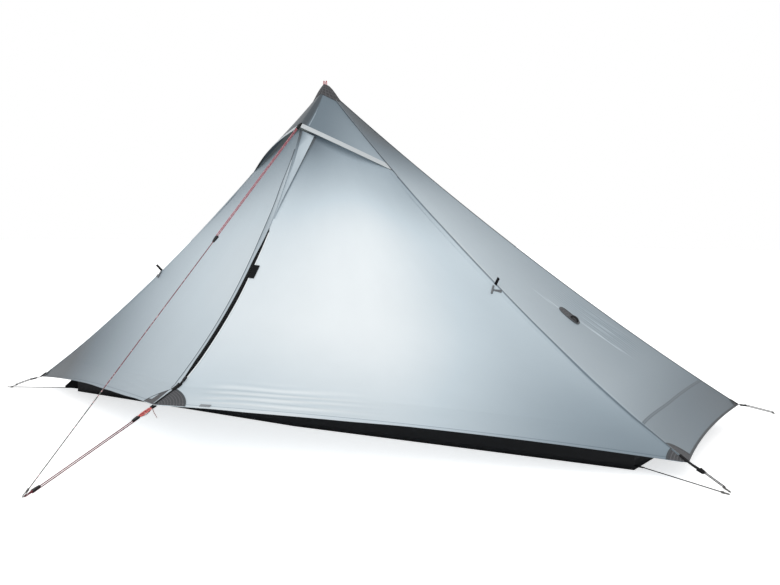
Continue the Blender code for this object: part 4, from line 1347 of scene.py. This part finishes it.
for side, word in sides:
    end = end_faces[side]

    def oval(lift, turn, radius):
        angle = math.tau * turn
        x, y = math.cos(angle), math.sin(angle)
        a, s = spot_on(end, guy_across, guy_share,
                       guy_half_width * radius * math.copysign(abs(x) ** 0.75, x),
                       guy_half_height * radius * math.copysign(abs(y) ** 0.65, y))
        return end(a, s) + outward(end, a, s) * lift

    middle = end(guy_across, guy_share)
    face_out = outward(end, guy_across, guy_share)
    fall_way = (end(guy_across, guy_share + 0.01) - middle).normalized()
    wide_way = face_out.cross(fall_way)

    def pull_loop(across, share):
        angle = math.pi * share
        return (middle + wide_way * (pull_width * (across - 0.5))
                + fall_way * (0.020 - 0.0150 * math.cos(angle))
                + face_out * (0.0024 + 0.0085 * math.sin(angle)))

    laid_cloth(f"guy_point_{word}", partial(oval, 0.0014), 40, 12, (0.20, 0.036), patch_cloth,
               thickness=0.0008, slot="patch_dark", nodes=(f"guy_patch_{word}",))
    laid_cloth(f"guy_rim_{word}", between(partial(oval, 0.0022), 0.90, 1), 48, 3, (0.20, 0.006),
               seam_thread, thickness=0.0014, slot="patch_dark")
    laid_cloth(f"guy_pull_{word}", pull_loop, 4, 20, (0.012, 0.04), webbing, thickness=0.0014,
               slot="patch_dark")


# Groundsheet: black coated nylon with low walls, folded and sewn at the corners. It lies flat
# on the ground, and its walls stand a little unevenly.
floor_cloth = object_weave("floor_cloth", (0.012, 0.012, 0.0135), 380, 0.0002, 0.5, 0.6)
set_inputs(shader(floor_cloth), {"Specular IOR Level": 0.3})
tub = sewn_copy("groundsheet", "bathtub_floor", floor_cloth, cuts=5,
                ripple=0.0006, spacing=0.2)


# Netting: a black net wall under the front ridges, with its own door, and a net skirt round
# the sides and back down to the groundsheet.
nets = (("net_left", "mesh_wall_left", "tent", 0.0006, (1.19, 0.96), "groundsheet", 0.668),
        ("net_right", "mesh_wall_right", "tent", 0.0006, (1.15, 0.45), "net_left", 0.171),
        ("net_door", "mesh_door", "mesh_door", 0.0, (1.03, 0.85), "net_right", 0.455),
        ("net_skirt", "mesh_skirt", "tent", 0.0, (3.80, 0.05), "groundsheet", 0.18))
for name, node, body, ripple, flat, held_by, area in nets:
    net = sewn_copy(name, node, netting, body=body, cuts=1, ripple=ripple)


# Pole: three anodised tubes that slide in each other, two black clamps with red levers, a
# plastic tip and a rubber foot. These solids, and the line locks, the zip's slider and the
# toggles, keep their shape and get their finish here.
anodised = plain_material("anodised", (0.16, 0.165, 0.175), 0.32)
brush_place = add_node(anodised.node_tree, "TexCoord", {})
stretch = add_node(anodised.node_tree, "Mapping", {"Vector": brush_place.outputs["Object"],
                                                   "Scale": (1, 1, 0.04)})
brushed = add_node(anodised.node_tree, "TexNoise", {"Vector": stretch.outputs["Vector"],
                                                    "Scale": 60})
brush_range = add_node(anodised.node_tree, "MapRange", {"Value": brushed.outputs["Fac"],
                                                        "To Min": 0.24, "To Max": 0.42})
set_inputs(shader(anodised), {"Metallic": 1.0, "Roughness": brush_range.outputs["Result"]})


def like_moulded(name, colour, roughness):
    """Another moulded finish: the same fine grain in another colour and shine."""
    made = moulded.copy()
    made.name = name
    set_inputs(shader(made), {"Base Color": (*colour, 1), "Roughness": roughness})
    return made


finishes = (
    (anodised, ("pole_upper", "pole_middle", "pole_lower")),
    (moulded, ("pole_tip", "clamp_upper", "clamp_lower", "tensioner_main", "tensioner_porch",
               "tensioner_stake", "zip_slider")),
    (like_moulded("red_plastic", (0.45, 0.03, 0.03), 0.3), ("lever_upper", "lever_lower")),
    (like_moulded("rubber", (0.012, 0.012, 0.012), 0.85), ("pole_foot",)),
    (like_moulded("grey_plastic", (0.17, 0.18, 0.19), 0.45), ("toggle_right", "toggle_left")),
)
for finish, nodes in finishes:
    for node in nodes:
        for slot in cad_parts[node].material_slots:
            slot.material = finish
